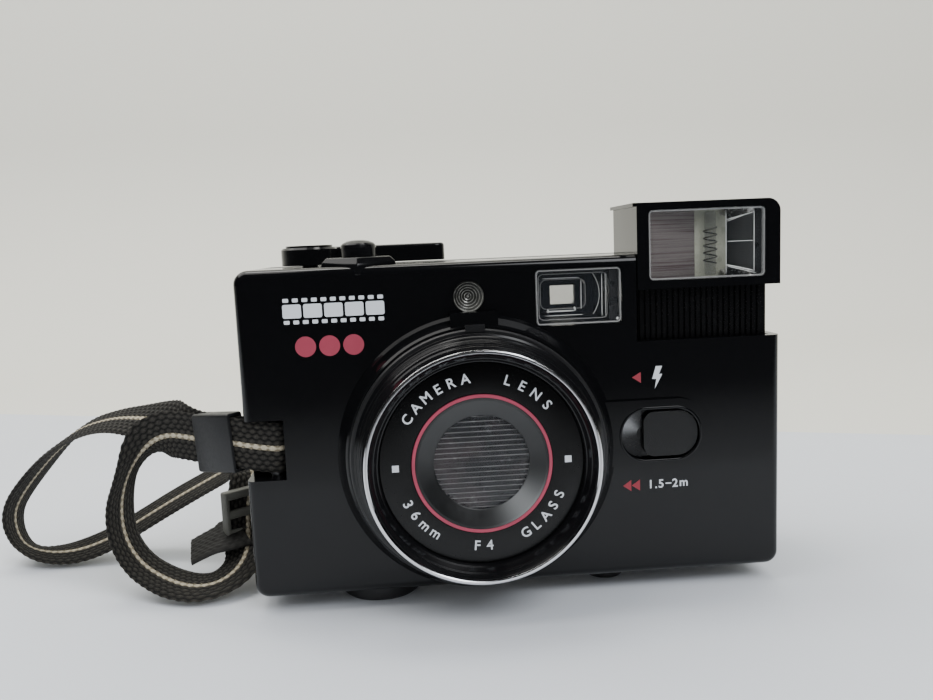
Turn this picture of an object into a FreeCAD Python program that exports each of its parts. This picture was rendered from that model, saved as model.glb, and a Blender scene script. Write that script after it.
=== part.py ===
# Compact 35 mm film camera with a pop-up flash, a fixed wide lens and a webbing wrist strap.
# Drawing frame: X to the right seen from the front, Y from the front face to the back,
# Z up from the underside of the case.  place() shifts it so that the feet stand on Z = 0
# and the origin is under the middle of the case, lens and door.
import FreeCAD, Part
import math
import os

Vec = FreeCAD.Vector

# ---- case ----
caseWidth = 126.0
caseHeight = 76.5
caseDepth = 39.0
wall = 2.0
cornerRadius = 3.2
edgeRadius = 2.0
coverDepth = 22.0          # front cover, from the front face to its seam
doorThickness = 6.0        # door, rim included
doorTop = 58.5             # top edge of the back door
footHeight = 4.0
edgeChamfer = 0.3          # broken edges along the seams

# ---- clearances ----
runFit = 0.08              # radial play of a shaft, ring or pin that turns
slideGap = 0.3             # play beside parts that slide or swing
seatGap = 0.1              # play round parts that are set in and stay put

# ---- lens ----
lensX = -9.5
lensZ = 32.2
bossRadius = 32.4
bossFrontRadius = 30.0
bossDepth = 4.0
lensDepth = 15.4           # front face to the rim
barrelBaseRadius = 28.5
barrelRimRadius = 25.9
sleeveRadius = 25.85
sleeveBore = 24.2
sleeveEnd = 6.0
rimThickness = 0.9
faceRadius = 22.7
faceInset = 4.9            # rim to the lettered plate
faceThickness = 0.9
coneOuterRadius = 15.6
accentWidth = 0.8
apertureRadius = 10.66
shutterTravel = 11.0       # each ribbed cover slides this far to clear the aperture
coverBladeRadius = 12.0
coverBladeThickness = 1.2
cellRadius = 11.0
cellWall = 1.4
leafRadius = 6.2
leafPivot = 14.0
leafThickness = 0.4
diaphragmRadius = 4.8
speedRingThickness = 1.2
speedRingRadius = 29.4

# ---- film path ----
gateWidth = 36.0
gateHeight = 24.0
filmWidth = 35.0
filmPlane = 31.0
cartridgeX = 32.2
cartridgeY = 20.5
cartridgeRadius = 12.8     # chamber
chamberBottom = 9.4
chamberTop = 54.5
spoolX = -48.2
spoolY = 24.9
spoolRadius = 8.0
spoolChamberRadius = 10.0
sprocketX = -34.0
sprocketY = 26.0
sprocketRadius = 4.55
chamberWall = 0.9

# ---- flash ----
flashLeft = caseWidth / 2 - 34.1
flashBottom = caseHeight - 8.2
flashTop = caseHeight + 11.6
flashDepth = 21.4
flashWall = 1.6
flashCorner = 3.0
lidThickness = 0.8          # let into the top of the flash head
lidLip = 0.8
notchFloor = caseHeight - 20.2
notchFloorThickness = 1.0
pocketWall = 1.2
columnLeft = flashLeft + 0.8
columnRight = flashLeft + 31.5
columnFront = 2.3
columnThickness = 1.9
ribPitch = 1.35
windowLeft = flashLeft + 2.8
windowRight = flashLeft + 30.4
windowBottom = flashBottom + 1.9
windowTop = flashTop - 1.7

# ---- batteries ----
cellDiameter = 14.5
cellLength = 50.5
cellX = 53.3
batteryFrontY = 12.1
batteryGap = 0.9           # between the two cells, holds a thin wall
batteryFloor = 3.4

# ---- top controls ----
buttonX = -35.0
buttonY = 8.0
buttonRadius = 4.15
buttonTop = caseHeight + 5.9
buttonTravel = 1.8
pedestalHeight = 2.0
leverRadius = 7.0
leverTop = caseHeight + 4.7
leverTip = -14.0
leverWidth = 5.5
leverEdge = 0.8             # rounding of its top edge
leverShaft = 2.0
leverTeeth = 44
idlerTeeth = 10
sprocketTeeth = 12
gearThickness = 2.2
idlerStud = 0.8
counterX = -16.0
counterY = 13.0
counterRadius = 6.5

# ---- openings in the front ----
finderLeft = 5.1
finderRight = 25.2
finderBottom = caseHeight - 15.6
finderTop = caseHeight - 2.6
meterX = -10.3
meterZ = caseHeight - 8.0
meterRadius = 3.6
plateauHeight = 1.3
plateauBottom = 27.1
plateauTop = 42.6
plateauRight = 45.4
slotLeft = 24.2
slotRight = 42.8
slotBottom = 28.2
slotTop = 40.4
slotDepth = 2.0
switchWidth = 12.9
switchHeight = 10.7
switchTravel = 3.8

# ---- strap ----
notchWidth = 9.15
notchDepth = 9.0
notchBottom = 28.3
notchTop = 42.3
pinInset = 6.4             # strap pin, from the left side
pinY = 4.5
pinRadius = 1.4
strapWidth = 12.0
strapThickness = 1.1
strapTube = 2.4            # diameter of the plain tube that stands for a strand

# ---- underside ----
bossFootX = -34.0
bossFootY = 13.5
bossFootRadius = 9.8
bushRadius = 5.2
bushBore = 3.175           # 1/4 inch camera screw
bushDepth = 6.0
smallFootX = 22.4
smallFootY = 12.7
smallFootRadius = 5.0
rearFootRadius = 2.8
rearFootY = 28.6
rearFootXs = (-52.0, 41.0)
crankRadius = 6.8
crankThickness = 1.3
crankArmThickness = 1.0
crankArmWidth = 3.2
hingeInset = 3.2
hingeY = 35.9
knuckleRadius = 3.0
hingePinRadius = 1.0

caseHalf = caseWidth / 2
pinX = pinInset - caseHalf
hingeX = hingeInset - caseHalf
bodyBack = caseDepth - doorThickness
frontY = lensDepth - (caseDepth + lensDepth) / 2     # where the front face lies in the part's frame


def box(x0, x1, y0, y1, z0, z1):
    return Part.makeBox(x1 - x0, y1 - y0, z1 - z0, Vec(x0, y0, z0))


def discY(radius, y0, y1, x, z):
    return Part.makeCylinder(radius, y1 - y0, Vec(x, y0, z), Vec(0, 1, 0))


def discZ(radius, z0, z1, x, y):
    return Part.makeCylinder(radius, z1 - z0, Vec(x, y, z0), Vec(0, 0, 1))


def ringZ(outer, inner, z0, z1, x, y):
    return discZ(outer, z0, z1, x, y).cut(discZ(inner, z0 - 1, z1 + 1, x, y))


def turnedY(profile, x=lensX, z=lensZ):
    # closed outline of (radius, y) points turned round an axis along Y
    points = [Vec(x + r, y, z) for r, y in profile]
    face = Part.Face(Part.makePolygon(points + [points[0]]))
    return face.revolve(Vec(x, 0, z), Vec(0, 1, 0), 360)


def turnedZ(profile, x, y):
    # closed outline of (radius, z) points turned round an axis along Z
    points = [Vec(x + r, y, z) for r, z in profile]
    face = Part.Face(Part.makePolygon(points + [points[0]]))
    return face.revolve(Vec(x, y, 0), Vec(0, 0, 1), 360)


def stadiumY(x0, x1, z0, z1, y0, y1):
    # prism along Y whose outline has fully round ends on the left and right
    r = (z1 - z0) / 2
    middle = box(x0 + r, x1 - r, y0, y1, z0, z1)
    left = discY(r, y0, y1, x0 + r, z0 + r)
    right = discY(r, y0, y1, x1 - r, z0 + r)
    return middle.fuse([left, right]).removeSplitter()


def roundedY(x0, x1, y0, y1, z0, z1, r):
    # block whose four edges along Y are rounded
    block = box(x0, x1, y0, y1, z0, z1)
    return block.makeFillet(r, edgesAlong(block, "y"))


def roundedZ(x0, x1, y0, y1, z0, z1, r):
    block = box(x0, x1, y0, y1, z0, z1)
    return block.makeFillet(r, edgesAlong(block, "z"))


def edgesAlong(shape, axis):
    found = []
    for edge in shape.Edges:
        a, b = edge.Vertexes[0].Point, edge.Vertexes[-1].Point
        run = b - a
        others = [abs(getattr(run, k)) for k in "xyz" if k != axis]
        if abs(getattr(run, axis)) > 1e-6 and max(others) < 1e-6:
            found.append(edge)
    return found


def edgesOnPlane(shape, axis, value):
    # edges that lie in the plane where the coordinate has that value
    found = []
    for edge in shape.Edges:
        limits = edge.BoundBox
        low = getattr(limits, axis.upper() + "Min")
        high = getattr(limits, axis.upper() + "Max")
        if abs(low - value) < 1e-4 and abs(high - value) < 1e-4:
            found.append(edge)
    return found


def caseBlock():
    # the whole outside of the case as one rounded block
    block = roundedY(-caseHalf, caseHalf, 0, caseDepth, 0, caseHeight, cornerRadius)
    ends = edgesOnPlane(block, "y", 0) + edgesOnPlane(block, "y", caseDepth)
    return block.makeFillet(edgeRadius, ends)


# ---------------- case ----------------

def frontCover():
    big = caseWidth
    shell = caseBlock().common(box(-big, big, -1, coverDepth, -1, caseHeight + 1))
    hollow = box(-caseHalf + wall, caseHalf - wall, wall, coverDepth + 1, wall, caseHeight - wall)
    shell = shell.cut(hollow)
    boss = turnedY([(0, 1.0), (bossRadius, 1.0), (bossRadius, -0.3), (bossRadius - 0.7, -1.2),
                    (bossFrontRadius + 0.4, -bossDepth + 0.5), (bossFrontRadius - 0.1, -bossDepth),
                    (0, -bossDepth)])
    boss = boss.common(box(-big, big, -20, 2, 0, caseHeight))
    plateau = stadiumY(lensX, plateauRight, plateauBottom, plateauTop, -plateauHeight, 1.0)
    indexPad = box(lensX - 5.4, lensX + 5.4, -bossDepth + 0.2, 0.5, lensZ + bossFrontRadius - 3,
                   lensZ + bossRadius + 0.6)
    shell = shell.fuse([boss, plateau, indexPad])
    # walls of the strap recess
    shell = shell.fuse(box(-caseHalf + wall / 2, -caseHalf + notchWidth + pocketWall, wall / 2,
                           notchDepth + pocketWall,
                           notchBottom - pocketWall, notchTop + pocketWall))
    cuts = [
        box(flashLeft - slideGap, big, -1, coverDepth + 1, notchFloor, caseHeight + 1),
        box(-big, -caseHalf + notchWidth, -1, notchDepth, notchBottom, notchTop),
        discZ(pinRadius, notchBottom - 1.0, notchTop + 1.0, pinX, pinY),
        discY(sleeveRadius + seatGap, -bossDepth - 1, wall + 1, lensX, lensZ),
        roundedY(finderLeft, finderRight, -1, wall + 1, finderBottom, finderTop, 1.0),
        discY(meterRadius + seatGap, -1, wall + 1, meterX, meterZ),
        roundedSlot(slotLeft, slotRight, slotBottom, slotTop, -plateauHeight - 1, slotDepth - plateauHeight),
        box(switchStemLeft() - switchTravel - slideGap, switchStemLeft() + 3.5 + slideGap, -1, wall + 1,
            slotMiddle() - 2 - slideGap, slotMiddle() + 2 + slideGap),
        discZ(2.0 + runFit, caseHeight - wall - 1, caseHeight + 1, buttonX, buttonY),
        discZ(4.0 + seatGap, caseHeight - 1.0, caseHeight + 1, counterX, counterY),
        discZ(3.2, caseHeight - wall - 1, caseHeight, counterX, counterY),
        box(batteryLeft(), caseHalf - wall, wall + 0.6, coverDepth + 1, -1, wall + 1),
        discZ(bushRadius, -1, wall + 1, bossFootX, bossFootY),
        discZ(2.6 + runFit, -1, wall + 1, cartridgeX, cartridgeY),
    ]
    for x, y in coverScrews():
        cuts.append(discZ(0.9, -1, wall + 1, x, y))
        cuts.append(discZ(1.9, -1, 1.0, x, y))
    for tool in cuts:
        shell = shell.cut(tool)
    return shell.removeSplitter()


def flashWell():
    # floor and inner side of the recess that the flash drops into; its floor is slotted for the column
    left = flashLeft - slideGap
    right = caseHalf - wall - seatGap
    front = wall + seatGap
    floor = box(left - pocketWall, right, front, coverDepth - seatGap, notchFloor - notchFloorThickness,
                notchFloor)
    side = box(left - pocketWall, left, front, coverDepth - seatGap, notchFloor - 0.1,
               caseHeight - wall - seatGap)
    slot = box(columnLeft - slideGap, columnRight + slideGap, columnFront - slideGap,
               columnFront + columnThickness + slideGap, notchFloor - 3, notchFloor + 1)
    return floor.fuse(side).cut(slot).removeSplitter()


def roundedSlot(x0, x1, z0, z1, y0, y1):
    r = (z1 - z0) / 2 - 0.6
    return roundedY(x0, x1, y0, y1, z0, z1, r)


def slotMiddle():
    return (slotBottom + slotTop) / 2


def switchStemLeft():
    return slotRight - 8.0


def coverScrews():
    return [(-caseHalf + 9.0, 12.0), (38.0, 6.0)]


def bodyScrews():
    return [(-10.0, 27.5), (12.0, 27.5)]


def batteryLeft():
    return cellX - cellDiameter / 2 - 0.7


def batteryRows():
    return [batteryFrontY, batteryFrontY + cellDiameter + batteryGap]


def mainBody():
    big = caseWidth
    block = caseBlock().common(box(-big, big, coverDepth, caseDepth + 1, -1, caseHeight + 1))
    block = block.cut(box(-big, big, bodyBack, caseDepth + 1, -1, doorTop))
    ceiling = notchFloor - notchFloorThickness - 0.1
    insideLeft = -caseHalf + wall + seatGap
    insideRight = caseHalf - wall - seatGap
    forward = [
        discZ(cartridgeRadius + chamberWall, chamberBottom - 1, ceiling, cartridgeX, cartridgeY),
        discZ(spoolChamberRadius + chamberWall, chamberBottom - 1, ceiling, spoolX, spoolY),
        box(batteryLeft(), insideRight, batteryRows()[0] - cellDiameter / 2 - 0.6, coverDepth + 1,
            wall + seatGap, ceiling),
        box(gateLeft() - 1.2, gateRight() + 1.2, sleeveEnd + 7.0, coverDepth + 1,
            gateBottom() - 1.2, gateTop() + 1.2),
    ]
    for piece in forward:
        block = block.fuse(piece.common(box(-big, big, 0, bodyBack, 0, caseHeight)))
    rearRow = batteryRows()[1]
    bulge = discZ(cellDiameter / 2 + 0.85, wall + 1.0, ceiling, cellX, rearRow)
    block = block.fuse(bulge.common(box(-big, big, coverDepth, caseDepth, 0, caseHeight)))
    hingeLug = discZ(knuckleRadius, 0, wall + 0.8, hingeX, hingeY)
    block = block.fuse(hingeLug.fuse(box(hingeX - knuckleRadius, hingeX + knuckleRadius, bodyBack - 0.5,
                                         hingeY, 0, wall + 0.8)))
    cuts = [
        # room for the winding gears and the finder above the film, and for the flash circuit
        box(insideLeft, finderLeft - 2.0, coverDepth - 1, caseDepth - wall, doorTop + wall,
            caseHeight - wall),
        box(finderLeft - 0.9, finderRight + 0.9, coverDepth - 1, caseDepth - wall, finderBottom - 0.9,
            finderTop),
        box(finderRight + 2.2, insideRight, coverDepth + 1.2, caseDepth - wall, doorTop + wall,
            caseHeight - wall),
        discZ(cartridgeRadius, chamberBottom, chamberTop, cartridgeX, cartridgeY),
        box(cartridgeX - cartridgeRadius, cartridgeX + cartridgeRadius, cartridgeY, bodyBack + 1,
            chamberBottom, chamberTop),
        discZ(spoolChamberRadius, chamberBottom, chamberTop, spoolX, spoolY),
        box(spoolX - spoolChamberRadius, spoolX + spoolChamberRadius, spoolY, bodyBack + 1,
            chamberBottom, chamberTop),
        box(gateLeft(), gateRight(), 0, bodyBack + 1, gateBottom(), gateTop()),
        box(spoolX, cartridgeX, filmPlane, bodyBack + 1, lensZ - filmWidth / 2 - 0.3,
            lensZ + filmWidth / 2 + 0.3),
        discZ(sprocketRadius + 1.2, chamberBottom + 2, chamberTop - 2, sprocketX, sprocketY),
        box(sprocketX - sprocketRadius - 1.2, sprocketX + sprocketRadius + 1.2, sprocketY, bodyBack + 1,
            lensZ - filmWidth / 2 - 0.3, lensZ + filmWidth / 2 + 0.3),
        # hinge relief and pin hole, eyepiece, lever shaft, fork and spool bores
        discZ(knuckleRadius + slideGap, wall + 0.8, doorTop, hingeX, hingeY),
        discZ(hingePinRadius, 0.8, doorTop + 3.0, hingeX, hingeY),
        roundedY(eyeLeft(), eyeLeft() + 10.0, coverDepth + 5, caseDepth + 1, eyeBottom(),
                 eyeBottom() + 7.5, 1.2),
        discZ(leverShaft + runFit, ceiling - 6, caseHeight + 1, spoolX, spoolY),
        discZ(1.5 + runFit, chamberTop - 3, doorTop + wall + 1, sprocketX, sprocketY),
        discZ(1.5 + runFit, chamberBottom - 1.5, chamberBottom + 3, sprocketX, sprocketY),
        discZ(1.5 + runFit, chamberBottom - 4, chamberBottom + 3, spoolX, spoolY),
        discZ(2.6 + runFit, -1, chamberBottom + 1, cartridgeX, cartridgeY),
        box(caseHalf - 1.7, caseHalf + 1, coverDepth + 2.0, coverDepth + 9.0, 24.0, 40.0),
        # grooves for the foam light seals
        box(-caseHalf + 8, caseHalf - 8, bodyBack - 1.0, bodyBack + 1, doorTop - 2.2, doorTop - 1.0),
        box(-caseHalf + 8, batteryLeft() - 1.0, bodyBack - 1.0, bodyBack + 1, wall + 0.6, wall + 1.8),
        box(batteryLeft(), caseHalf - wall, coverDepth - 1, bodyBack - 0.6, -1, wall + 0.1),
    ]
    for y in batteryRows():
        cuts.append(discZ(cellDiameter / 2 + seatGap, 0, batteryFloor + cellLength + 1.0, cellX, y))
    for x, y in bodyScrews():
        cuts.append(discZ(0.9, -1, 6.0, x, y))
        cuts.append(discZ(1.9, -1, 1.0, x, y))
    for tool in cuts:
        block = block.cut(tool)
    rails = []
    for low, high in ((gateBottom() - 3.2, gateBottom() - 1.2), (gateTop() + 1.2, gateTop() + 3.2)):
        rails.append(box(gateLeft() - 0.4, gateRight() + 5.0, filmPlane - 0.5, filmPlane + 0.4, low, high))
    studX, studY = idlerPlace()
    stud = discZ(idlerStud, doorTop + 0.5, gearBase() + gearThickness + 0.8, studX, studY)
    return block.fuse(rails + [stud]).removeSplitter()


def gateLeft():
    return lensX - gateWidth / 2


def gateRight():
    return lensX + gateWidth / 2


def gateBottom():
    return lensZ - gateHeight / 2


def gateTop():
    return lensZ + gateHeight / 2


def eyeLeft():
    return (finderLeft + finderRight) / 2 - 3.5


def eyeBottom():
    return (finderBottom + finderTop) / 2 - 4.6


def backDoor():
    big = caseWidth
    top = doorTop - slideGap
    slab = caseBlock().common(box(-big, big, bodyBack + 0.2, caseDepth + 1, wall + 0.8 + slideGap, top))
    # the left edge is round about the hinge; below the knuckle the door clears the lower lug
    slab = slab.cut(box(-big, hingeX, 0, caseDepth + 1, -1, caseHeight))
    knuckle = discZ(knuckleRadius, wall + 0.8 + slideGap, top, hingeX, hingeY)
    low = caseBlock().common(box(hingeX + knuckleRadius + slideGap, big, bodyBack + 0.2, caseDepth + 1,
                                 -1, wall + 2.0))
    slab = slab.fuse([knuckle, low])
    pocketRight = caseHalf - 2.2
    cuts = [
        box(hingeX + knuckleRadius + 0.4, pocketRight, 0, caseDepth - wall, wall + 0.6, doorTop - 2.4),
        discZ(hingePinRadius + runFit, 0, doorTop, hingeX, hingeY),
        roundedY(cartridgeX - 4.0, cartridgeX + 4.0, 0, caseDepth + 1, 18.0, 46.0, 2.0),
        roundedY(cartridgeX - 5.0, cartridgeX + 5.0, caseDepth - 0.8, caseDepth + 1, 17.0, 47.0, 2.6),
    ]
    for tool in cuts:
        slab = slab.cut(tool)
    return slab.removeSplitter()


def filmWindow():
    return roundedY(cartridgeX - 4.9, cartridgeX + 4.9, caseDepth - 0.8, caseDepth, 17.1, 46.9, 2.5)


def pressurePlate():
    plate = roundedY(gateLeft() - 5.0, gateRight() + 6.0, filmPlane + 0.7, filmPlane + 1.7,
                     lensZ - 15.0, lensZ + 15.0, 2.0)
    return plate


def pressureSpring():
    # flat bow spring between the door skin and the pressure plate
    doorSkin = caseDepth - wall
    back = box(lensX - 4.0, lensX + 4.0, doorSkin - 0.4, doorSkin, lensZ - 4.5, lensZ + 4.5)
    parts = [back]
    for side in (-1, 1):
        points = [
            Vec(lensX + side * 4.0, doorSkin - 0.4, lensZ - 3.0),
            Vec(lensX + side * 16.0, filmPlane + 1.7, lensZ - 3.0),
            Vec(lensX + side * 20.0, filmPlane + 1.7, lensZ - 3.0),
            Vec(lensX + side * 20.0, filmPlane + 2.1, lensZ - 3.0),
            Vec(lensX + side * 16.0, filmPlane + 2.1, lensZ - 3.0),
            Vec(lensX + side * 4.0, doorSkin, lensZ - 3.0),
        ]
        face = Part.Face(Part.makePolygon(points + [points[0]]))
        parts.append(face.extrude(Vec(0, 0, 6.0)))
    return parts[0].fuse(parts[1:]).removeSplitter()


def hingePin():
    return discZ(hingePinRadius, 0.9, doorTop + 2.8, hingeX, hingeY)


def doorLatch():
    face = caseHalf
    pad = box(face - 1.4, face - 0.1, coverDepth + 2.3, coverDepth + 8.7, 28.6, 39.6)
    ribs = []
    for k in range(5):
        z = 30.6 + 1.7 * k
        ribs.append(box(face - 0.4, face, coverDepth + 3.2, coverDepth + 7.8, z, z + 0.8))
    return pad.fuse(ribs).removeSplitter()


def lightSeals():
    top = box(-caseHalf + 8.1, caseHalf - 8.1, bodyBack - 1.0, bodyBack + 0.05, doorTop - 2.1, doorTop - 1.1)
    low = box(-caseHalf + 8.1, batteryLeft() - 1.1, bodyBack - 1.0, bodyBack + 0.05, wall + 0.7, wall + 1.7)
    return Part.makeCompound([top, low])


# ---------------- lens ----------------

def faceY():
    return -lensDepth + faceInset


def lensBarrel():
    flangeY = -bossDepth - speedRingThickness - 0.3
    rimSeat = -lensDepth + 0.7
    back = faceY() + faceThickness
    return turnedY([
        (barrelBaseRadius, flangeY), (barrelBaseRadius, flangeY - 1.2),
        (barrelBaseRadius - 0.7, flangeY - 1.5),
        (barrelBaseRadius - 0.9, flangeY - 3.2), (barrelBaseRadius - 1.3, flangeY - 3.5),
        (barrelRimRadius, rimSeat), (barrelRimRadius - rimThickness, rimSeat),
        (barrelRimRadius - rimThickness - 0.05, -lensDepth + 0.1), (faceRadius + 0.3, faceY() - 0.9),
        (faceRadius, faceY() - 0.6), (faceRadius, back), (faceRadius - 0.9, back),
        (faceRadius - 0.9, back + 0.6),
        (sleeveBore, back + 0.6), (sleeveBore, sleeveEnd), (sleeveRadius, sleeveEnd),
        (sleeveRadius, flangeY)])


def chromeRim():
    inner = barrelRimRadius - rimThickness
    return turnedY([(barrelRimRadius, -lensDepth + 0.7), (barrelRimRadius, -lensDepth + 0.25),
                    (barrelRimRadius - 0.25, -lensDepth), (inner + 0.1, -lensDepth),
                    (inner, -lensDepth + 0.1),
                    (inner, -lensDepth + 0.7)])


def speedRing():
    inner = sleeveRadius + runFit
    y0 = -bossDepth - 0.15 - speedRingThickness
    y1 = -bossDepth - 0.15
    ring = turnedY([(speedRingRadius - 0.3, y0), (speedRingRadius, y0 + 0.3), (speedRingRadius, y1),
                    (inner, y1), (inner, y0)])
    lug = box(lensX - 2.2, lensX + 2.2, y0 - 0.2, y1, lensZ + barrelBaseRadius + 0.3,
              lensZ + speedRingRadius + 0.9)
    return ring.fuse(lug).removeSplitter()


def facePlate():
    return turnedY([(faceRadius - seatGap, faceY()), (faceRadius - seatGap, faceY() + faceThickness),
                    (coneOuterRadius + seatGap, faceY() + faceThickness),
                    (coneOuterRadius + seatGap, faceY())])


def accentRing():
    return turnedY([(coneOuterRadius, faceY() - 0.4), (coneOuterRadius, faceY() + 0.2),
                    (coneOuterRadius - accentWidth, faceY() + 0.2),
                    (coneOuterRadius - accentWidth, faceY() - 0.4)])


def lensCone():
    back = faceY() + faceThickness
    return turnedY([
        (coneOuterRadius - accentWidth, faceY() - 0.3), (coneOuterRadius - accentWidth, faceY() + 0.2),
        (coneOuterRadius, faceY() + 0.2), (coneOuterRadius, back), (faceRadius - 1.0, back),
        (faceRadius - 1.0, back + 0.6), (apertureRadius, back + 0.6), (apertureRadius, back + 0.1),
        (coneOuterRadius - accentWidth - 0.5, faceY() - 0.3)])


def lensWindow():
    back = faceY() + faceThickness
    return discY(apertureRadius - 0.02, back + 0.15, back + 0.5, lensX, lensZ)


def bladeFront():
    return faceY() + faceThickness + 0.6 + slideGap


def coverBlade(side):
    # half of the ribbed cover in front of the lens; side is 1 for the upper half, -1 for the lower
    y0 = bladeFront()
    disc = discY(coverBladeRadius, y0, y0 + coverBladeThickness, lensX, lensZ)
    gap = 0.06
    z0, z1 = (lensZ + gap, lensZ + 20) if side > 0 else (lensZ - 20, lensZ - gap)
    half = disc.common(box(lensX - 20, lensX + 20, -20, 0, z0, z1))
    pitch = 1.15
    grooves = []
    for k in range(10):
        z = lensZ + side * (pitch * (k + 0.5))
        grooves.append(box(lensX - 20, lensX + 20, y0 - 1, y0 + 0.3, z - 0.35, z + 0.35))
    return half.cut(grooves[0].fuse(grooves[1:])).removeSplitter()


def shutterHousing():
    y0 = bladeFront() + coverBladeThickness + slideGap
    outer = sleeveBore - seatGap
    leafRoom = 2.0
    leafY = leafPlane()
    room = turnedY([(0, leafY), (outer - 1.4, leafY), (outer - 1.4, leafY + leafRoom), (0, leafY + leafRoom)])
    housing = discY(outer, y0, sleeveEnd + 2.0, lensX, lensZ)
    housing = housing.cut(discY(cellRadius, y0 - 1, sleeveEnd + 4, lensX, lensZ))
    housing = housing.cut(room)
    pins = []
    for side in (-1, 1):
        pins.append(discY(0.6, leafY - 0.2, leafY + leafRoom + 0.2, lensX + side * leafPivot, lensZ))
    return housing.fuse(pins).removeSplitter()


def leafPlane():
    return -1.2


def cellFront():
    y0 = bladeFront() + coverBladeThickness + slideGap
    y1 = leafPlane()
    bore = cellRadius - cellWall
    return turnedY([(cellRadius, y0), (cellRadius, y1), (diaphragmRadius, y1), (diaphragmRadius, y1 - 0.8),
                    (bore, y1 - 0.8), (bore, y0)])


def cellRear():
    y0 = leafPlane() + 2.0
    y1 = sleeveEnd + 5.0
    bore = cellRadius - cellWall - 1.6
    return turnedY([(diaphragmRadius, y0), (cellRadius, y0), (cellRadius, y1), (bore, y1), (bore, y0 + 0.8),
                    (diaphragmRadius, y0 + 0.8)])


def glassElement(y0, y1, radius, bulgeFront, bulgeBack):
    # lens turned from one outline; a bulge is how far the middle of a face stands out
    def arcPoint(y, bulge, way):
        # a point of the arc halfway out, from the radius of its sphere
        ball = (radius ** 2 + bulge ** 2) / (2 * bulge)
        half = radius / 2
        return Vec(lensX + half, y - way * (ball - bulge - math.sqrt(ball ** 2 - half ** 2)), lensZ)

    frontTip = Vec(lensX, y0 - bulgeFront, lensZ)
    backTip = Vec(lensX, y1 + bulgeBack, lensZ)
    frontEdge = Vec(lensX + radius, y0, lensZ)
    backEdge = Vec(lensX + radius, y1, lensZ)
    outline = [
        Part.Arc(frontTip, arcPoint(y0, bulgeFront, -1), frontEdge).toShape(),
        Part.LineSegment(frontEdge, backEdge).toShape(),
        Part.Arc(backEdge, arcPoint(y1, bulgeBack, 1), backTip).toShape(),
        Part.LineSegment(backTip, frontTip).toShape(),
    ]
    return Part.Face(Part.Wire(outline)).revolve(Vec(lensX, 0, lensZ), Vec(0, 1, 0), 360)


def frontElement():
    y0 = bladeFront() + coverBladeThickness + slideGap
    return glassElement(y0 + 1.3, y0 + 2.8, cellRadius - cellWall, 1.1, 0.5)


def rearElement():
    return glassElement(sleeveEnd + 1.5, sleeveEnd + 3.0, cellRadius - cellWall - 1.6, 0.4, 0.9)


def shutterLeaf(side):
    # one leaf covers the aperture and swings on a pivot beside it
    y0 = leafPlane() + (0.3 if side > 0 else 1.1)
    pivotX = lensX + side * leafPivot
    leaf = discY(leafRadius, y0, y0 + leafThickness, lensX, lensZ)
    x0, x1 = sorted((lensX, pivotX))
    arm = box(x0, x1, y0, y0 + leafThickness, lensZ - 1.6, lensZ + 1.6)
    eye = discY(2.0, y0, y0 + leafThickness, pivotX, lensZ)
    leaf = leaf.fuse([arm, eye]).removeSplitter()
    return leaf.cut(discY(0.6 + runFit, y0 - 1, y0 + 1, pivotX, lensZ))


# ---------------- finder, meter ----------------

def finderWindow():
    return roundedY(finderLeft + seatGap, finderRight - seatGap, 0.2, 1.2, finderBottom + seatGap,
                    finderTop - seatGap, 0.9)


def finderTunnel():
    outer = box(finderLeft - 0.8, finderRight + 0.8, wall, coverDepth + 12, finderBottom - 0.8,
                finderTop - 0.1)
    inner = roundedY(finderLeft, finderRight, wall - 1, coverDepth + 13, finderBottom, finderTop - 0.9, 1.0)
    return outer.cut(inner)


def finderLens():
    plate = roundedY(finderLeft + 0.2, finderRight - 0.2, 6.0, 7.6, finderBottom + 0.2, finderTop - 1.1, 0.8)
    return plate


def eyepieceLens():
    return roundedY(eyeLeft() + seatGap, eyeLeft() + 10.0 - seatGap, caseDepth - 1.8, caseDepth - 0.6,
                    eyeBottom() + seatGap, eyeBottom() + 7.5 - seatGap, 1.1)


def meterCone():
    return turnedY([(meterRadius, 0.1), (meterRadius, 3.2), (1.9, 3.2), (1.9, 2.4),
                    (meterRadius - 0.3, 0.1)], meterX, meterZ)


def meterCell():
    return turnedY([(0, 1.9), (1.2, 2.1), (1.85, 2.5), (1.85, 4.6), (0, 4.6)], meterX, meterZ)


# ---------------- flash ----------------

def flashHead():
    right = caseHalf - 0.2
    block = box(flashLeft, right, 0, flashDepth, flashBottom, flashTop)
    top = [e for e in edgesAlong(block, "y") if e.Vertexes[0].Z > flashTop - 1]
    corner = [e for e in top if e.Vertexes[0].X > flashLeft + 1]
    block = block.makeFillet(flashCorner, corner)
    inside = box(flashLeft + flashWall, right - flashWall, windowRecess(), flashDepth - flashWall,
                 flashBottom + flashWall, flashTop + 1)
    insideTopRight = box(right - flashCorner - 0.4, right, -1, flashDepth + 1,
                         flashTop - flashCorner - 0.4, flashTop + 2)
    block = block.cut(inside.cut(insideTopRight))
    opening = roundedY(windowLeft, windowRight, -1, windowRecess() + 1, windowBottom, windowTop, 1.2)
    lidSeat = box(flashLeft - 1, right - flashCorner, -1, flashDepth + 1, flashTop - lidThickness, flashTop + 1)
    return block.cut(opening).cut(lidSeat).removeSplitter()


def windowRecess():
    return 1.5


def flashLid():
    right = caseHalf - 0.2 - flashCorner - seatGap
    lid = box(flashLeft - lidLip, right, 0, flashDepth + lidLip * 0.5, flashTop - lidThickness, flashTop)
    leftEdges = [e for e in edgesAlong(lid, "z") if e.Vertexes[0].X < flashLeft]
    return lid.makeFillet(0.5, leftEdges)


def flashWindow():
    return roundedY(windowLeft + seatGap, windowRight - seatGap, 0.2, 1.4, windowBottom + seatGap,
                    windowTop - seatGap, 1.1)


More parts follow.
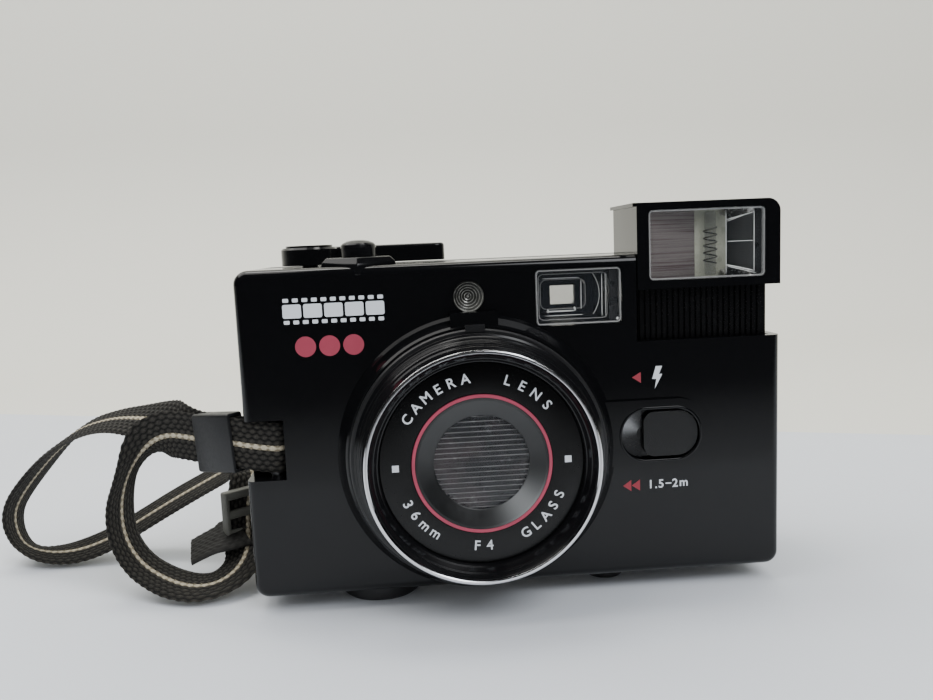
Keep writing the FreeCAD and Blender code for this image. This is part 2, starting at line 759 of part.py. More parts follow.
def flashReflector():
    # trough round the flash tube, open to the front
    block = box(windowLeft, windowRight, windowRecess() + 0.1, 12.0, windowBottom, windowTop)
    middleX = (windowLeft + windowRight) / 2
    half = (windowRight - windowLeft) / 2 - 0.8
    depth = 9.3
    trough = Part.makeCylinder(half, 60, Vec(middleX, windowRecess(), windowBottom + 0.8), Vec(0, 0, 1))
    trough = trough.common(box(0, 90, 0, windowRecess() + depth, windowBottom + 0.8, windowTop - 0.8))
    return block.cut(trough).removeSplitter()


def tubeX():
    return windowLeft + 0.66 * (windowRight - windowLeft)


def flashTube():
    return discZ(1.3, windowBottom + 0.8, windowTop - 0.8, tubeX(), windowRecess() + 4.6)


def flashColumn():
    y0, y1 = columnFront, columnFront + columnThickness
    bottom = notchFloor - notchFloorThickness - 1.4
    plate = box(columnLeft, columnRight, y0 + 0.5, y1, bottom, flashBottom)
    count = int((columnRight - columnLeft) / ribPitch)
    ribs = []
    for k in range(count):
        x = columnLeft + ribPitch * (k + 0.5)
        ribs.append(box(x - ribPitch * 0.3, x + ribPitch * 0.3, y0, y0 + 0.6, bottom, flashBottom))
    return plate.fuse(ribs).removeSplitter()


# ---------------- batteries and circuit ----------------

def batteries():
    cells = []
    for k, y in enumerate(batteryRows()):
        can = discZ(cellDiameter / 2, batteryFloor + 0.5, batteryFloor + cellLength - 1.2, cellX, y)
        nub = discZ(2.7, batteryFloor, batteryFloor + cellLength, cellX, y)
        cells.append(can.fuse(nub).removeSplitter())
    return Part.makeCompound(cells)


def lidHingeX():
    # the lid turns about its rounded right edge
    return caseHalf - wall - slideGap - wall / 2


def batteryDoor():
    y0 = wall + 0.6 + slideGap
    y1 = bodyBack - 0.6 - slideGap
    lid = box(batteryLeft() + slideGap, caseHalf - wall - slideGap, y0, y1, 0, wall)
    lid = lid.cut(box(lidHingeX(), caseWidth, -1, caseDepth, -1, wall + 1))
    barrel = discY(wall / 2, y0, y1, lidHingeX(), wall / 2)
    ribs = [barrel]
    for k in range(5):
        y = y0 + 4 + 1.5 * k
        ribs.append(box(batteryLeft() + 4, caseHalf - wall - 4, y, y + 0.7, -0.3, 0.3))
    return lid.fuse(ribs).removeSplitter()


def flashCapacitor():
    return Part.makeCylinder(5.0, 27.0, Vec(-caseHalf + 4.5, 8.2, 52.0), Vec(1, 0, 0))


def circuitBoard():
    board = box(-31.0, 3.0, 4.0, 20.5, 60.2, 61.6)
    chips = []
    for x, y, w, d, h in ((-27.0, 7.0, 7.0, 6.0, 1.8), (-16.0, 13.0, 4.0, 4.0, 1.2),
                          (-4.0, 10.0, 5.0, 5.0, 2.2)):
        chips.append(box(x, x + w, y, y + d, 61.6, 61.6 + h))
    return board.fuse(chips).removeSplitter()


# ---------------- top controls ----------------

def shutterPedestal():
    z0 = caseHeight
    z1 = caseHeight + pedestalHeight
    low = [(-8.5, -5.6), (0.0, -8.0), (8.3, -5.6), (8.3, 5.6), (-8.5, 5.6)]
    high = [(-7.0, -5.0), (0.0, -6.9), (7.3, -5.0), (7.3, 4.9), (-7.0, 4.9)]
    wires = []
    for outline, z in ((low, z0), (high, z1)):
        points = [Vec(buttonX + x, buttonY + y, z) for x, y in outline]
        wires.append(Part.makePolygon(points + [points[0]]))
    block = Part.makeLoft(wires, True, True)
    return block.cut(discZ(buttonRadius + slideGap, z0 - 1, z1 + 1, buttonX, buttonY))


def shutterButton():
    base = caseHeight + buttonTravel + 0.3
    r = buttonRadius
    cap = turnedZ([(0, base), (r - 0.2, base), (r, base + 0.2), (r, buttonTop - 1.3),
                   (r - 0.4, buttonTop - 0.6),
                   (r - 1.4, buttonTop - 0.15), (0, buttonTop)], buttonX, buttonY)
    stem = discZ(2.0, caseHeight - wall - 3.0, base + 0.5, buttonX, buttonY)
    return cap.fuse(stem).removeSplitter()


def advanceLever():
    z0 = caseHeight + slideGap
    hub = turnedZ([(0, z0), (leverRadius, z0), (leverRadius, leverTop - 0.5), (leverRadius - 0.5, leverTop),
                   (0, leverTop)], spoolX, spoolY)
    backY = spoolY + leverRadius
    arm = box(spoolX, leverTip, backY - leverWidth, backY, z0, leverTop)
    ends = [e for e in edgesAlong(arm, "z") if e.Vertexes[0].X > leverTip - 1]
    arm = arm.makeFillet(leverWidth / 2 - 0.4, ends)
    rim = [e for e in arm.Edges if min(v.Z for v in e.Vertexes) > leverTop - 0.01]
    arm = arm.makeFillet(leverEdge, rim)
    thumb = box(leverTip - 12, leverTip - 2.2, backY - 1, backY + 3.0, z0 + 0.6, leverTop)
    thumb = thumb.makeFillet(1.2, edgesAlong(thumb, "z"))
    shaft = discZ(leverShaft, doorTop + wall + 0.6, z0 + 1, spoolX, spoolY)
    cap = discZ(leverRadius - 1.2, leverTop - 0.1, leverTop + 0.5, spoolX, spoolY)
    return hub.fuse([arm, thumb, shaft, cap, advanceGear()]).removeSplitter()


def gearShape(x, y, z0, z1, pitchRadius, teeth, firstAngle):
    # straight-sided teeth, a little short and narrow so that they run free
    module = 2 * pitchRadius / teeth
    root = pitchRadius - 1.1 * module
    tip = pitchRadius + 0.55 * module
    step = 2 * math.pi / teeth
    points = []
    for k in range(teeth):
        middle = math.radians(firstAngle) + k * step
        for r, share in ((root, -0.30), (tip, -0.13), (tip, 0.13), (root, 0.30)):
            a = middle + share * step
            points.append(Vec(x + r * math.cos(a), y + r * math.sin(a), z0))
    face = Part.Face(Part.makePolygon(points + [points[0]]))
    return face.extrude(Vec(0, 0, z1 - z0))


def gearLine():
    # distance and direction in degrees from the lever axis to the sprocket axis
    dx = sprocketX - spoolX
    dy = sprocketY - spoolY
    return math.hypot(dx, dy), math.degrees(math.atan2(dy, dx))


def gearModule():
    # lever gear, idler and sprocket gear stand in one line
    distance, angle = gearLine()
    return distance / (leverTeeth / 2 + idlerTeeth + sprocketTeeth / 2)


def gearBase():
    return doorTop + wall + 0.8


def advanceGear():
    distance, angle = gearLine()
    pitch = gearModule() * leverTeeth / 2
    return gearShape(spoolX, spoolY, gearBase(), gearBase() + gearThickness, pitch, leverTeeth, angle)


def idlerPlace():
    distance, angle = gearLine()
    reach = gearModule() * (leverTeeth + idlerTeeth) / 2
    way = math.radians(angle)
    return spoolX + reach * math.cos(way), spoolY + reach * math.sin(way)


def idlerGear():
    # its gaps face the lever gear and the sprocket gear
    distance, angle = gearLine()
    x, y = idlerPlace()
    pitch = gearModule() * idlerTeeth / 2
    z0 = gearBase() - 0.3
    wheel = gearShape(x, y, z0, gearBase() + gearThickness + 0.3, pitch, idlerTeeth,
                      angle + 180 + 180 / idlerTeeth)
    return wheel.cut(discZ(idlerStud + runFit, z0 - 1, z0 + 5, x, y))


def sprocketGear():
    distance, angle = gearLine()
    pitch = gearModule() * sprocketTeeth / 2
    return gearShape(sprocketX, sprocketY, gearBase() - 0.3, gearBase() + gearThickness + 0.4, pitch,
                     sprocketTeeth, angle + 180)


def filmSprocket():
    z0 = chamberBottom + 2.4
    z1 = chamberTop - 2.4
    body = discZ(sprocketRadius - 1.2, z0, z1, sprocketX, sprocketY)
    parts = [body, discZ(1.5, chamberBottom - 1.2, gearBase() + 2.6, sprocketX, sprocketY), sprocketGear()]
    for z in (lensZ - filmWidth / 2 + 2.0, lensZ + filmWidth / 2 - 2.0):
        parts.append(discZ(sprocketRadius - 0.4, z - 1.8, z + 1.8, sprocketX, sprocketY))
        for k in range(6):
            tooth = box(-0.9, 0.9, sprocketRadius - 1.0, sprocketRadius + 0.7, z - 0.8, z + 0.8)
            tooth.rotate(Vec(0, 0, 0), Vec(0, 0, 1), 60 * k + 30)
            tooth.translate(Vec(sprocketX, sprocketY, 0))
            parts.append(tooth)
    return parts[0].fuse(parts[1:]).removeSplitter()


def takeUpSpool():
    z0 = chamberBottom + slideGap
    z1 = chamberTop - slideGap
    core = discZ(spoolRadius - 1.5, z0, z1, spoolX, spoolY)
    parts = [core, discZ(1.5, chamberBottom - 3.0, z0 + 1, spoolX, spoolY)]
    for z in (z0, z1 - 1.2):
        parts.append(discZ(spoolRadius, z, z + 1.2, spoolX, spoolY))
    spool = parts[0].fuse(parts[1:]).removeSplitter()
    for k in range(4):
        slot = box(spoolRadius - 4.0, spoolRadius, -0.8, 0.8, z0 + 5, z1 - 5)
        slot.rotate(Vec(0, 0, 0), Vec(0, 0, 1), 90 * k + 45)
        slot.translate(Vec(spoolX, spoolY, 0))
        spool = spool.cut(slot)
    return spool


def counterWindow():
    return turnedZ([(0, caseHeight - 0.95), (4.0, caseHeight - 0.95), (4.0, caseHeight),
                    (3.0, caseHeight + 0.25),
                    (0, caseHeight + 0.3)], counterX, counterY)


def counterDial():
    z1 = caseHeight - wall - slideGap
    dial = discZ(counterRadius, z1 - 0.8, z1, counterX, counterY)
    return dial.fuse(discZ(1.0, z1 - 4.0, z1 - 0.5, counterX, counterY)).removeSplitter()


# ---------------- flash switch ----------------

def flashSwitch():
    front = -plateauHeight + 0.5
    floor = slotDepth - plateauHeight - slideGap
    right = slotRight - slideGap
    z0 = slotMiddle() - switchHeight / 2
    z1 = slotMiddle() + switchHeight / 2
    pad = box(right - switchWidth, right, front, floor, z0, z1)
    upright = edgesAlong(pad, "y")
    rightEdges = [e for e in upright if e.Vertexes[0].X > right - 1]
    pad = pad.makeFillet(switchHeight / 2 - 0.45, rightEdges)
    leftEdges = [e for e in edgesAlong(pad, "y") if e.Vertexes[0].X < right - switchWidth + 0.1]
    pad = pad.makeFillet(2.6, leftEdges)
    stem = box(switchStemLeft(), switchStemLeft() + 3.5, front + 0.5, wall + 1.4, slotMiddle() - 2,
               slotMiddle() + 2)
    keeper = box(switchStemLeft() - 2.5, switchStemLeft() + 6.0, wall + slideGap, wall + 1.4,
                 slotMiddle() - 4, slotMiddle() + 4)
    return pad.fuse([stem, keeper]).removeSplitter()


# ---------------- underside ----------------

def tripodBoss():
    r = bossFootRadius
    disc = turnedZ([(bushRadius, 0), (r, 0), (r, -footHeight + 0.6), (r - 0.6, -footHeight),
                    (bushRadius, -footHeight)],
                   bossFootX, bossFootY)
    return disc


def tripodBush():
    outer = discZ(bushRadius, -footHeight + 0.1, bushDepth - footHeight + 1.6, bossFootX, bossFootY)
    bore = discZ(bushBore, -footHeight, bushDepth - footHeight + 0.1, bossFootX, bossFootY)
    return outer.cut(bore)


def smallFeet():
    feet = []
    spots = [(smallFootX, smallFootY, smallFootRadius)]
    for x in rearFootXs:
        spots.append((x, rearFootY, rearFootRadius))
    for x, y, r in spots:
        feet.append(turnedZ([(0, 0), (r, 0), (r, -footHeight + 0.6), (r - 0.6, -footHeight),
                             (0, -footHeight)], x, y))
    return Part.makeCompound(feet)


def rewindHub():
    z1 = -slideGap
    z0 = z1 - crankThickness
    disc = discZ(crankRadius, z0, z1, cartridgeX, cartridgeY)
    groove = box(cartridgeX - crankRadius - 1, cartridgeX + crankRadius + 1, cartridgeY - 1.9,
                 cartridgeY + 1.9,
                 z0 - 1, z0 + 0.6)
    shaft = discZ(2.6, z0 + 0.7, chamberBottom + 0.6, cartridgeX, cartridgeY)
    return disc.cut(groove).fuse([shaft, rewindFork()]).removeSplitter()


def rewindFork():
    # two tongues that grip the spool of a film cartridge
    z0 = chamberBottom + 0.6
    stem = discZ(2.6, z0, z0 + 1.2, cartridgeX, cartridgeY)
    blade = box(cartridgeX - 2.3, cartridgeX + 2.3, cartridgeY - 0.7, cartridgeY + 0.7, z0 + 1.0, z0 + 4.6)
    return stem.fuse(blade).cut(box(cartridgeX - 0.9, cartridgeX + 0.9, cartridgeY - 2, cartridgeY + 2,
                                    z0 + 2.4, z0 + 6)).removeSplitter()


def crankPivotX():
    return cartridgeX - 3.6


def crankZ():
    return -slideGap - crankThickness - crankArmThickness + 0.3


def rewindArm():
    z0 = crankZ()
    z1 = z0 + crankArmThickness
    w = crankArmWidth / 2
    pivotEnd = discY(crankArmThickness / 2, cartridgeY - w, cartridgeY + w, crankPivotX(), (z0 + z1) / 2)
    arm = box(crankPivotX(), cartridgeX + crankRadius - 0.6, cartridgeY - w, cartridgeY + w, z0, z1)
    arm = arm.makeFillet(1.0, [e for e in edgesAlong(arm, "z") if e.Vertexes[0].X > cartridgeX])
    arm = arm.fuse(pivotEnd)
    knob = discZ(1.5, z0 - 0.9, z0 + 0.2, cartridgeX + crankRadius - 2.2, cartridgeY)
    return arm.fuse(knob).removeSplitter()


def caseScrews():
    screws = []
    for x, y in coverScrews() + bodyScrews():
        head = discZ(1.75, 0.1, 0.95, x, y)
        stem = discZ(0.85, 0.9, wall + 2.0, x, y)
        slot = box(x - 1.2, x + 1.2, y - 0.2, y + 0.2, 0, 0.5)
        cross = box(x - 0.2, x + 0.2, y - 1.2, y + 1.2, 0, 0.5)
        screws.append(head.fuse(stem).cut(slot.fuse(cross)).removeSplitter())
    return Part.makeCompound(screws)


# ---------------- strap ----------------

def strapPin():
    return discZ(pinRadius, notchBottom - 1.0, notchTop + 1.0, pinX, pinY)


sliderCorner = Vec(-67.1, 3.2, 43.8)      # upper, outer corner of the slider at its pin end
sliderYaw = 36.0
sliderTilt = 5.0
sliderLength = 12.0
sliderHeight = 13.4
sliderThickness = 3.9


def sliderPlace(shape):
    # local frame: X away from the camera along the strap, Y through the slider, Z down its side
    shape.rotate(Vec(0, 0, 0), Vec(0, 1, 0), sliderTilt)
    shape.rotate(Vec(0, 0, 0), Vec(0, 0, 1), 180 - sliderYaw)
    shape.translate(sliderCorner)
    return shape


def strapSlider():
    block = box(0, sliderLength, -sliderThickness, 0, -sliderHeight, 0)
    block = block.makeFillet(0.5, block.Edges)
    return sliderPlace(block)


def strapLoop():
    # two layers of webbing from the slider round the pin
    z0 = (notchBottom + notchTop) / 2 - strapWidth / 2
    z1 = z0 + strapWidth
    ring = ringZ(pinRadius + 0.1 + strapThickness, pinRadius + 0.1, z0, z1, pinX, pinY)
    reach = Vec(sliderCorner.x + 1.0, sliderCorner.y + 1.2, 0)
    run = Vec(reach.x - pinX, reach.y - pinY, 0)
    length = run.Length
    angle = math.degrees(math.atan2(run.y, run.x))
    bar = box(pinRadius + 0.3, length, -strapThickness, strapThickness, z0, z1)
    bar.rotate(Vec(0, 0, 0), Vec(0, 0, 1), angle)
    bar.translate(Vec(pinX, pinY, 0))
    return ring.fuse(bar).removeSplitter()


# Routes of the two strands in the part's own frame, slider first, adjuster last.
longRoute = [
    (-75.3, 1.4, 42.3), (-85.5, 7.6, 42.8), (-95.7, 14.4, 41.4), (-106.2, 21.8, 39.0), (-116.6, 28.8, 35.6),
    (-126.4, 34.6, 30.6), (-134.2, 38.2, 23.4), (-139.2, 40.8, 15.4), (-140.4, 42.8, 7.8),
    (-136.8, 43.4, 2.9),
    (-129.4, 40.6, 2.2), (-119.6, 36.8, 2.8), (-108.8, 37.2, 6.6), (-98.0, 38.8, 12.6), (-87.4, 37.6, 19.2),
    (-79.2, 34.8, 23.6), (-72.4, 31.0, 25.8), (-68.2, 26.0, 24.6), (-69.3, 21.2, 20.9),
]
shortRoute = [
    (-76.9, -0.9, 42.1), (-85.0, 3.4, 41.4), (-92.2, 7.0, 37.4), (-97.6, 9.2, 31.0), (-100.7, 10.2, 23.0),
    (-100.2, 9.4, 14.8), (-96.2, 7.8, 7.6), (-89.4, 4.8, 3.6), (-81.6, 1.4, 2.4), (-74.8, 1.0, 2.9),
    (-70.4, 5.2, 4.2), (-68.8, 11.6, 6.6), (-69.8, 18.4, 10.2),
]
adjusterCentre = Vec(-70.0, 19.4, 16.2)
adjusterYaw = 40.0
adjusterHeight = 12.5
adjusterLength = 13.4
adjusterThickness = 2.6


def tubeAlong(points, diameter):
    # straight runs joined by tangent arcs, each as large as its two runs allow
    points = [Vec(*p) for p in points]
    edges = []
    radii = []
    start = points[0]
    for a, b, c in zip(points, points[1:], points[2:]):
        u = (a - b).normalize()
        v = (c - b).normalize()
        turn = math.pi - u.getAngle(v)
        reach = 0.45 * min((a - b).Length, (c - b).Length)
        radii.append(reach / math.tan(turn / 2))
        first = b + u * reach
        last = b + v * reach
        middleWay = (u + v).normalize()
        centreGap = radii[-1] / math.cos(turn / 2)
        middle = b + middleWay * (centreGap - radii[-1])
        edges.append(Part.LineSegment(start, first).toShape())
        edges.append(Part.Arc(first, middle, last).toShape())
        start = last
    edges.append(Part.LineSegment(start, points[-1]).toShape())
    path = Part.Wire(edges)
    circle = Part.Wire(Part.Circle(points[0], (points[1] - points[0]), diameter / 2).toShape())
    tube = path.makePipeShell([circle], True, False)
    share = tube.Volume / (math.pi * (diameter / 2) ** 2 * path.Length)
    print("strand length", round(path.Length, 1), "radii", [round(r, 1) for r in radii], "volume ratio",
          round(share, 4))
    return tube


def strapStrand(route):
    # drawn in the case's frame so that place() brings it back to the route
    tube = tubeAlong(route, strapTube)
    tube.translate(Vec(0, -frontY, -footHeight))
    return tube


def strapAdjuster():
    # flat buckle with two slots and three bars
    half = adjusterLength / 2
    plate = box(-half, half, -adjusterThickness / 2, adjusterThickness / 2, -adjusterHeight / 2,
                adjusterHeight / 2)
    plate = plate.makeFillet(1.0, edgesAlong(plate, "y"))
    barHeight = 2.4
    slotHeight = (adjusterHeight - 3 * barHeight) / 2
    for side in (-1, 1):
        middle = side * (barHeight + slotHeight) / 2
        plate = plate.cut(box(-strapWidth / 2 + 0.6, strapWidth / 2 - 0.6, -9, 9,
                              middle - slotHeight / 2, middle + slotHeight / 2))
    plate.rotate(Vec(0, 0, 0), Vec(0, 0, 1), adjusterYaw)
    plate.translate(adjusterCentre + Vec(0, -frontY, -footHeight))
    return plate


def strapTail():
    # free end of the webbing below the adjuster
    tail = box(0, 12.5, -strapWidth / 2, strapWidth / 2, 0, strapThickness)
    tail.rotate(Vec(0, 0, 0), Vec(1, 0, 0), 40)
    tail.rotate(Vec(0, 0, 0), Vec(0, 1, 0), 14)
    tail.rotate(Vec(0, 0, 0), Vec(0, 0, 1), 186)
    tail.translate(Vec(-74.4, 14.4, 10.2) + Vec(0, -frontY, -footHeight))
    return tail


def place(shape):
    shape = shape.copy()
    shape.translate(Vec(0, frontY, footHeight))
    return shape


def allParts():
    return {
        "front_cover": frontCover(),
        "flash_well": flashWell(),
        "main_body": mainBody(),
        "back_door": backDoor(),
        "film_window": filmWindow(),
        "pressure_plate": pressurePlate(),
        "pressure_spring": pressureSpring(),
        "door_hinge_pin": hingePin(),
        "door_latch": doorLatch(),
        "light_seals": lightSeals(),
        "lens_barrel": lensBarrel(),
        "chrome_rim": chromeRim(),
        "film_speed_ring": speedRing(),
        "face_plate": facePlate(),
        "accent_ring": accentRing(),
        "lens_cone": lensCone(),
        "lens_window": lensWindow(),
        "lens_cover_upper": coverBlade(1),
        "lens_cover_lower": coverBlade(-1),
        "shutter_housing": shutterHousing(),
        "lens_cells": Part.makeCompound([cellFront(), cellRear()]),
        "lens_elements": Part.makeCompound([frontElement(), rearElement()]),
        "shutter_leaf_left": shutterLeaf(-1),
        "shutter_leaf_right": shutterLeaf(1),
        "finder_window": finderWindow(),
        "finder_tunnel": finderTunnel(),
        "finder_lenses": Part.makeCompound([finderLens(), eyepieceLens()]),
        "light_meter": Part.makeCompound([meterCone(), meterCell()]),
        "flash_head": flashHead(),
        "flash_lid": flashLid(),
        "flash_window": flashWindow(),
        "flash_reflector": flashReflector(),
        "flash_tube": flashTube(),
        "flash_column": flashColumn(),
        "batteries": batteries(),
        "battery_door": batteryDoor(),
        "flash_capacitor": flashCapacitor(),
        "circuit_board": circuitBoard(),
        "shutter_pedestal": shutterPedestal(),
        "shutter_button": shutterButton(),
        "advance_lever": advanceLever(),
        "idler_gear": idlerGear(),
        "film_sprocket": filmSprocket(),
        "take_up_spool": takeUpSpool(),
        "counter_window": counterWindow(),
        "counter_dial": counterDial(),
        "flash_switch": flashSwitch(),
        "tripod_boss": tripodBoss(),
        "tripod_bush": tripodBush(),
        "small_feet": smallFeet(),
        "rewind_hub": rewindHub(),
        "rewind_arm": rewindArm(),
        "case_screws": caseScrews(),
        "strap_pin": strapPin(),
        "strap_slider": strapSlider(),
        "strap_loop": strapLoop(),
        "strap_long_strand": strapStrand(longRoute),
        "strap_short_strand": strapStrand(shortRoute),
        "strap_adjuster": strapAdjuster(),
        "strap_tail": strapTail(),
    }


os.makedirs("parts", exist_ok=True)
for name, shape in allParts().items():
    placed = place(shape)
    if not placed.isValid():
        print("not valid:", name)
    placed.exportStep("parts/" + name + ".step")
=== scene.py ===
import bpy
import bmesh
import math
import numpy as np
from mathutils import Matrix, Vector


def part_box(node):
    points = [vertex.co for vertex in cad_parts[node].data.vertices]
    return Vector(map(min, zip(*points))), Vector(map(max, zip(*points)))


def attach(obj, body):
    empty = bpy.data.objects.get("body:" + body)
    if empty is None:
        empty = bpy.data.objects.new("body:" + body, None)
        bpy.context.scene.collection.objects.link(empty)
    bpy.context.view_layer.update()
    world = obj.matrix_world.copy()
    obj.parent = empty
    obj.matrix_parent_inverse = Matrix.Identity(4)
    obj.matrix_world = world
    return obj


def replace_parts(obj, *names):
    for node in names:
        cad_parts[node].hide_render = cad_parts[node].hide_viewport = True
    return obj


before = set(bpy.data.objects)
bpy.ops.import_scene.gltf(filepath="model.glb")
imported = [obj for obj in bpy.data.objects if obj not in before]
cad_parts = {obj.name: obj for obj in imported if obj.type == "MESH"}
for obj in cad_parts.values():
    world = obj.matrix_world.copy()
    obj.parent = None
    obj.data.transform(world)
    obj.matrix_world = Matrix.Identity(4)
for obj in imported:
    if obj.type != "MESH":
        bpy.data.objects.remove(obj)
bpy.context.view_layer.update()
print("frame loaded:", len(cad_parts), "nodes")

mm = 0.001

# places read from the frame
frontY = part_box("flash_head")[0].y           # front face of the case
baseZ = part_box("front_cover")[0].z           # underside of the case
rimLow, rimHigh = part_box("chrome_rim")
lensAxis = ((rimLow.x + rimHigh.x) / 2 / mm, ((rimLow.z + rimHigh.z) / 2 - baseZ) / mm)


def fromCase(points):
    # millimetres from the case's own corner (x, depth, height) to metres in the frame
    return np.asarray(points, float) * mm + np.array([0.0, frontY, baseZ])


# making meshes
def addMesh(name, vertices, faces, body, material, slotName, sharp=35.0, uv=None, closed=True, weld=0.0):
    # vertices in metres; faces as lists of corners; normals are turned outwards on closed shells
    mesh = bpy.data.meshes.new(name)
    mesh.from_pydata(np.asarray(vertices).tolist(), [], faces)
    if uv is not None:
        layer = mesh.uv_layers.new(name="surface")
        corners = np.zeros(len(mesh.loops), np.int32)
        mesh.loops.foreach_get("vertex_index", corners)
        layer.data.foreach_set("uv", np.asarray(uv, np.float32)[corners].ravel())
    if weld > 0 or closed:
        work = bmesh.new()
        work.from_mesh(mesh)
        if weld > 0:
            bmesh.ops.remove_doubles(work, verts=work.verts, dist=weld)
        if closed:
            bmesh.ops.recalc_face_normals(work, faces=work.faces)
        work.to_mesh(mesh)
        work.free()
    mesh.polygons.foreach_set("use_smooth", np.ones(len(mesh.polygons), bool))
    mesh.set_sharp_from_angle(angle=math.radians(sharp))
    mesh.materials.append(material)
    piece = bpy.data.objects.new(name, mesh)
    bpy.context.scene.collection.objects.link(piece)
    if body:
        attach(piece, body)
    return piece


def gridFaces(rows, columns, closeRows=False, closeColumns=False):
    # quads between neighbouring rows and columns of a grid, as one index array
    r = np.arange(rows if closeRows else rows - 1)
    c = np.arange(columns if closeColumns else columns - 1)
    a, b = np.meshgrid(r, c, indexing="ij")
    nextA = (a + 1) % rows
    nextB = (b + 1) % columns
    quads = np.stack([a * columns + b, a * columns + nextB, nextA * columns + nextB, nextA * columns + b], -1)
    return quads.reshape(-1, 4)


def gridSurface(name, grid, body, material, slotName, closeRows=False, closeColumns=False, caps=True, **more):
    # grid[i, j] is a point in metres; rows that close on themselves get flat ends when caps is true
    rows, columns = grid.shape[:2]
    faces = gridFaces(rows, columns, closeRows, closeColumns).tolist()
    if caps and closeColumns and not closeRows:
        faces.append(list(range(columns))[::-1])
        faces.append(list(range((rows - 1) * columns, rows * columns)))
    return addMesh(name, grid.reshape(-1, 3), faces, body, material, slotName, **more)


def softCorners(points, radii, steps=5, loop=True):
    # polyline with rounded corners: between its two tangent points, at reach = radius / tan(half angle),
    # a corner becomes corner + reach ((1 - t)^2 before + t^2 after)
    points = np.asarray(points, float)
    count = len(points)
    radii = np.broadcast_to(radii, count)
    nearlyStraight, longestShare = math.radians(88), 0.48
    made = []
    for k in range(count):
        here = points[k]
        if radii[k] <= 0 or (not loop and k in (0, count - 1)):
            made.append(here[None])
            continue
        before = points[k - 1] - here
        after = points[(k + 1) % count] - here
        lengths = np.linalg.norm(before), np.linalg.norm(after)
        before, after = before / lengths[0], after / lengths[1]
        half = math.acos(np.clip(before @ after, -1, 1)) / 2
        if half > nearlyStraight:
            made.append(here[None])
            continue
        reach = min(radii[k] / math.tan(half), longestShare * min(lengths))
        t = np.linspace(0, 1, steps + 1)[:, None]
        made.append(here + reach * ((1 - t) ** 2 * before + t ** 2 * after))
    return np.concatenate(made)


def turnedSurface(name, profile, body, material, slotName, centre=lensAxis, upright=False, segments=160,
                  radii=0.0, loop=True, steps=4, **more):
    # profile of (radius, level) in mm turned about the axis through centre:
    # point(a, k) = centre + r_k (cos a, sin a), at level k along the axis: depth, or height when upright
    outline = softCorners(profile, radii, steps, loop)
    angle = np.linspace(0, 2 * math.pi, segments, endpoint=False)[:, None]
    r, level = outline[:, 0][None], outline[:, 1][None] + 0 * angle
    first, second = centre[0] + r * np.cos(angle), centre[1] + r * np.sin(angle)
    grid = np.stack([first, second, level] if upright else [first, level, second], -1)
    return gridSurface(name, fromCase(grid), body, material, slotName, closeRows=True, closeColumns=loop,
                       caps=False, weld=1e-7, **more)


def roundedRing(u0, u1, v0, v1, radius, steps=6):
    # closed outline of a rectangle, counter-clockwise: each corner is centre + r (cos a, sin a) over 90 degrees
    radius = np.clip(radius, 0.001, min(u1 - u0, v1 - v0) / 2 - 1e-4)
    turn = np.linspace(0, math.pi / 2, steps + 1)
    radius = np.broadcast_to(radius, 4)
    parts = []
    for k, (u, v) in enumerate(((u1, v1), (u0, v1), (u0, v0), (u1, v0))):
        r = radius[k]
        a = turn + k * math.pi / 2
        centreU = u - r if k in (0, 3) else u + r
        centreV = v - r if k in (0, 1) else v + r
        parts.append(np.stack([centreU + r * np.cos(a), centreV + r * np.sin(a)], -1))
    return np.concatenate(parts)


def frontOutlines(extent, radius, layers, steps=6):
    # rounded outlines of the extent (u0, u1, v0, v1) in mm: outline k is drawn in by its inset, at its depth
    u0, u1, v0, v1 = extent
    rows = []
    for inset, depth in layers:
        ring = roundedRing(u0 + inset, u1 - inset, v0 + inset, v1 - inset, radius - inset, steps)
        rows.append(np.stack([ring[:, 0], np.full(len(ring), depth), ring[:, 1]], -1))
    return np.array(rows)


def layeredBlock(name, extent, radius, layers, body, material, slotName, steps=6):
    # solid block: a stack of rounded outlines with flat ends
    grid = frontOutlines(extent, radius, layers, steps)
    return gridSurface(name, fromCase(grid), body, material, slotName, closeColumns=True)


def edgedLayers(low, high, bevel, steps=3):
    # insets and levels of a slab whose two rims are rounded by a quarter circle
    a = np.linspace(0, math.pi / 2, steps + 1)
    near = [(bevel * (1 - math.sin(t)), low + bevel * (1 - math.cos(t))) for t in a]
    far = [(bevel * (1 - math.cos(t)), high - bevel * (1 - math.sin(t))) for t in a]
    return near + far


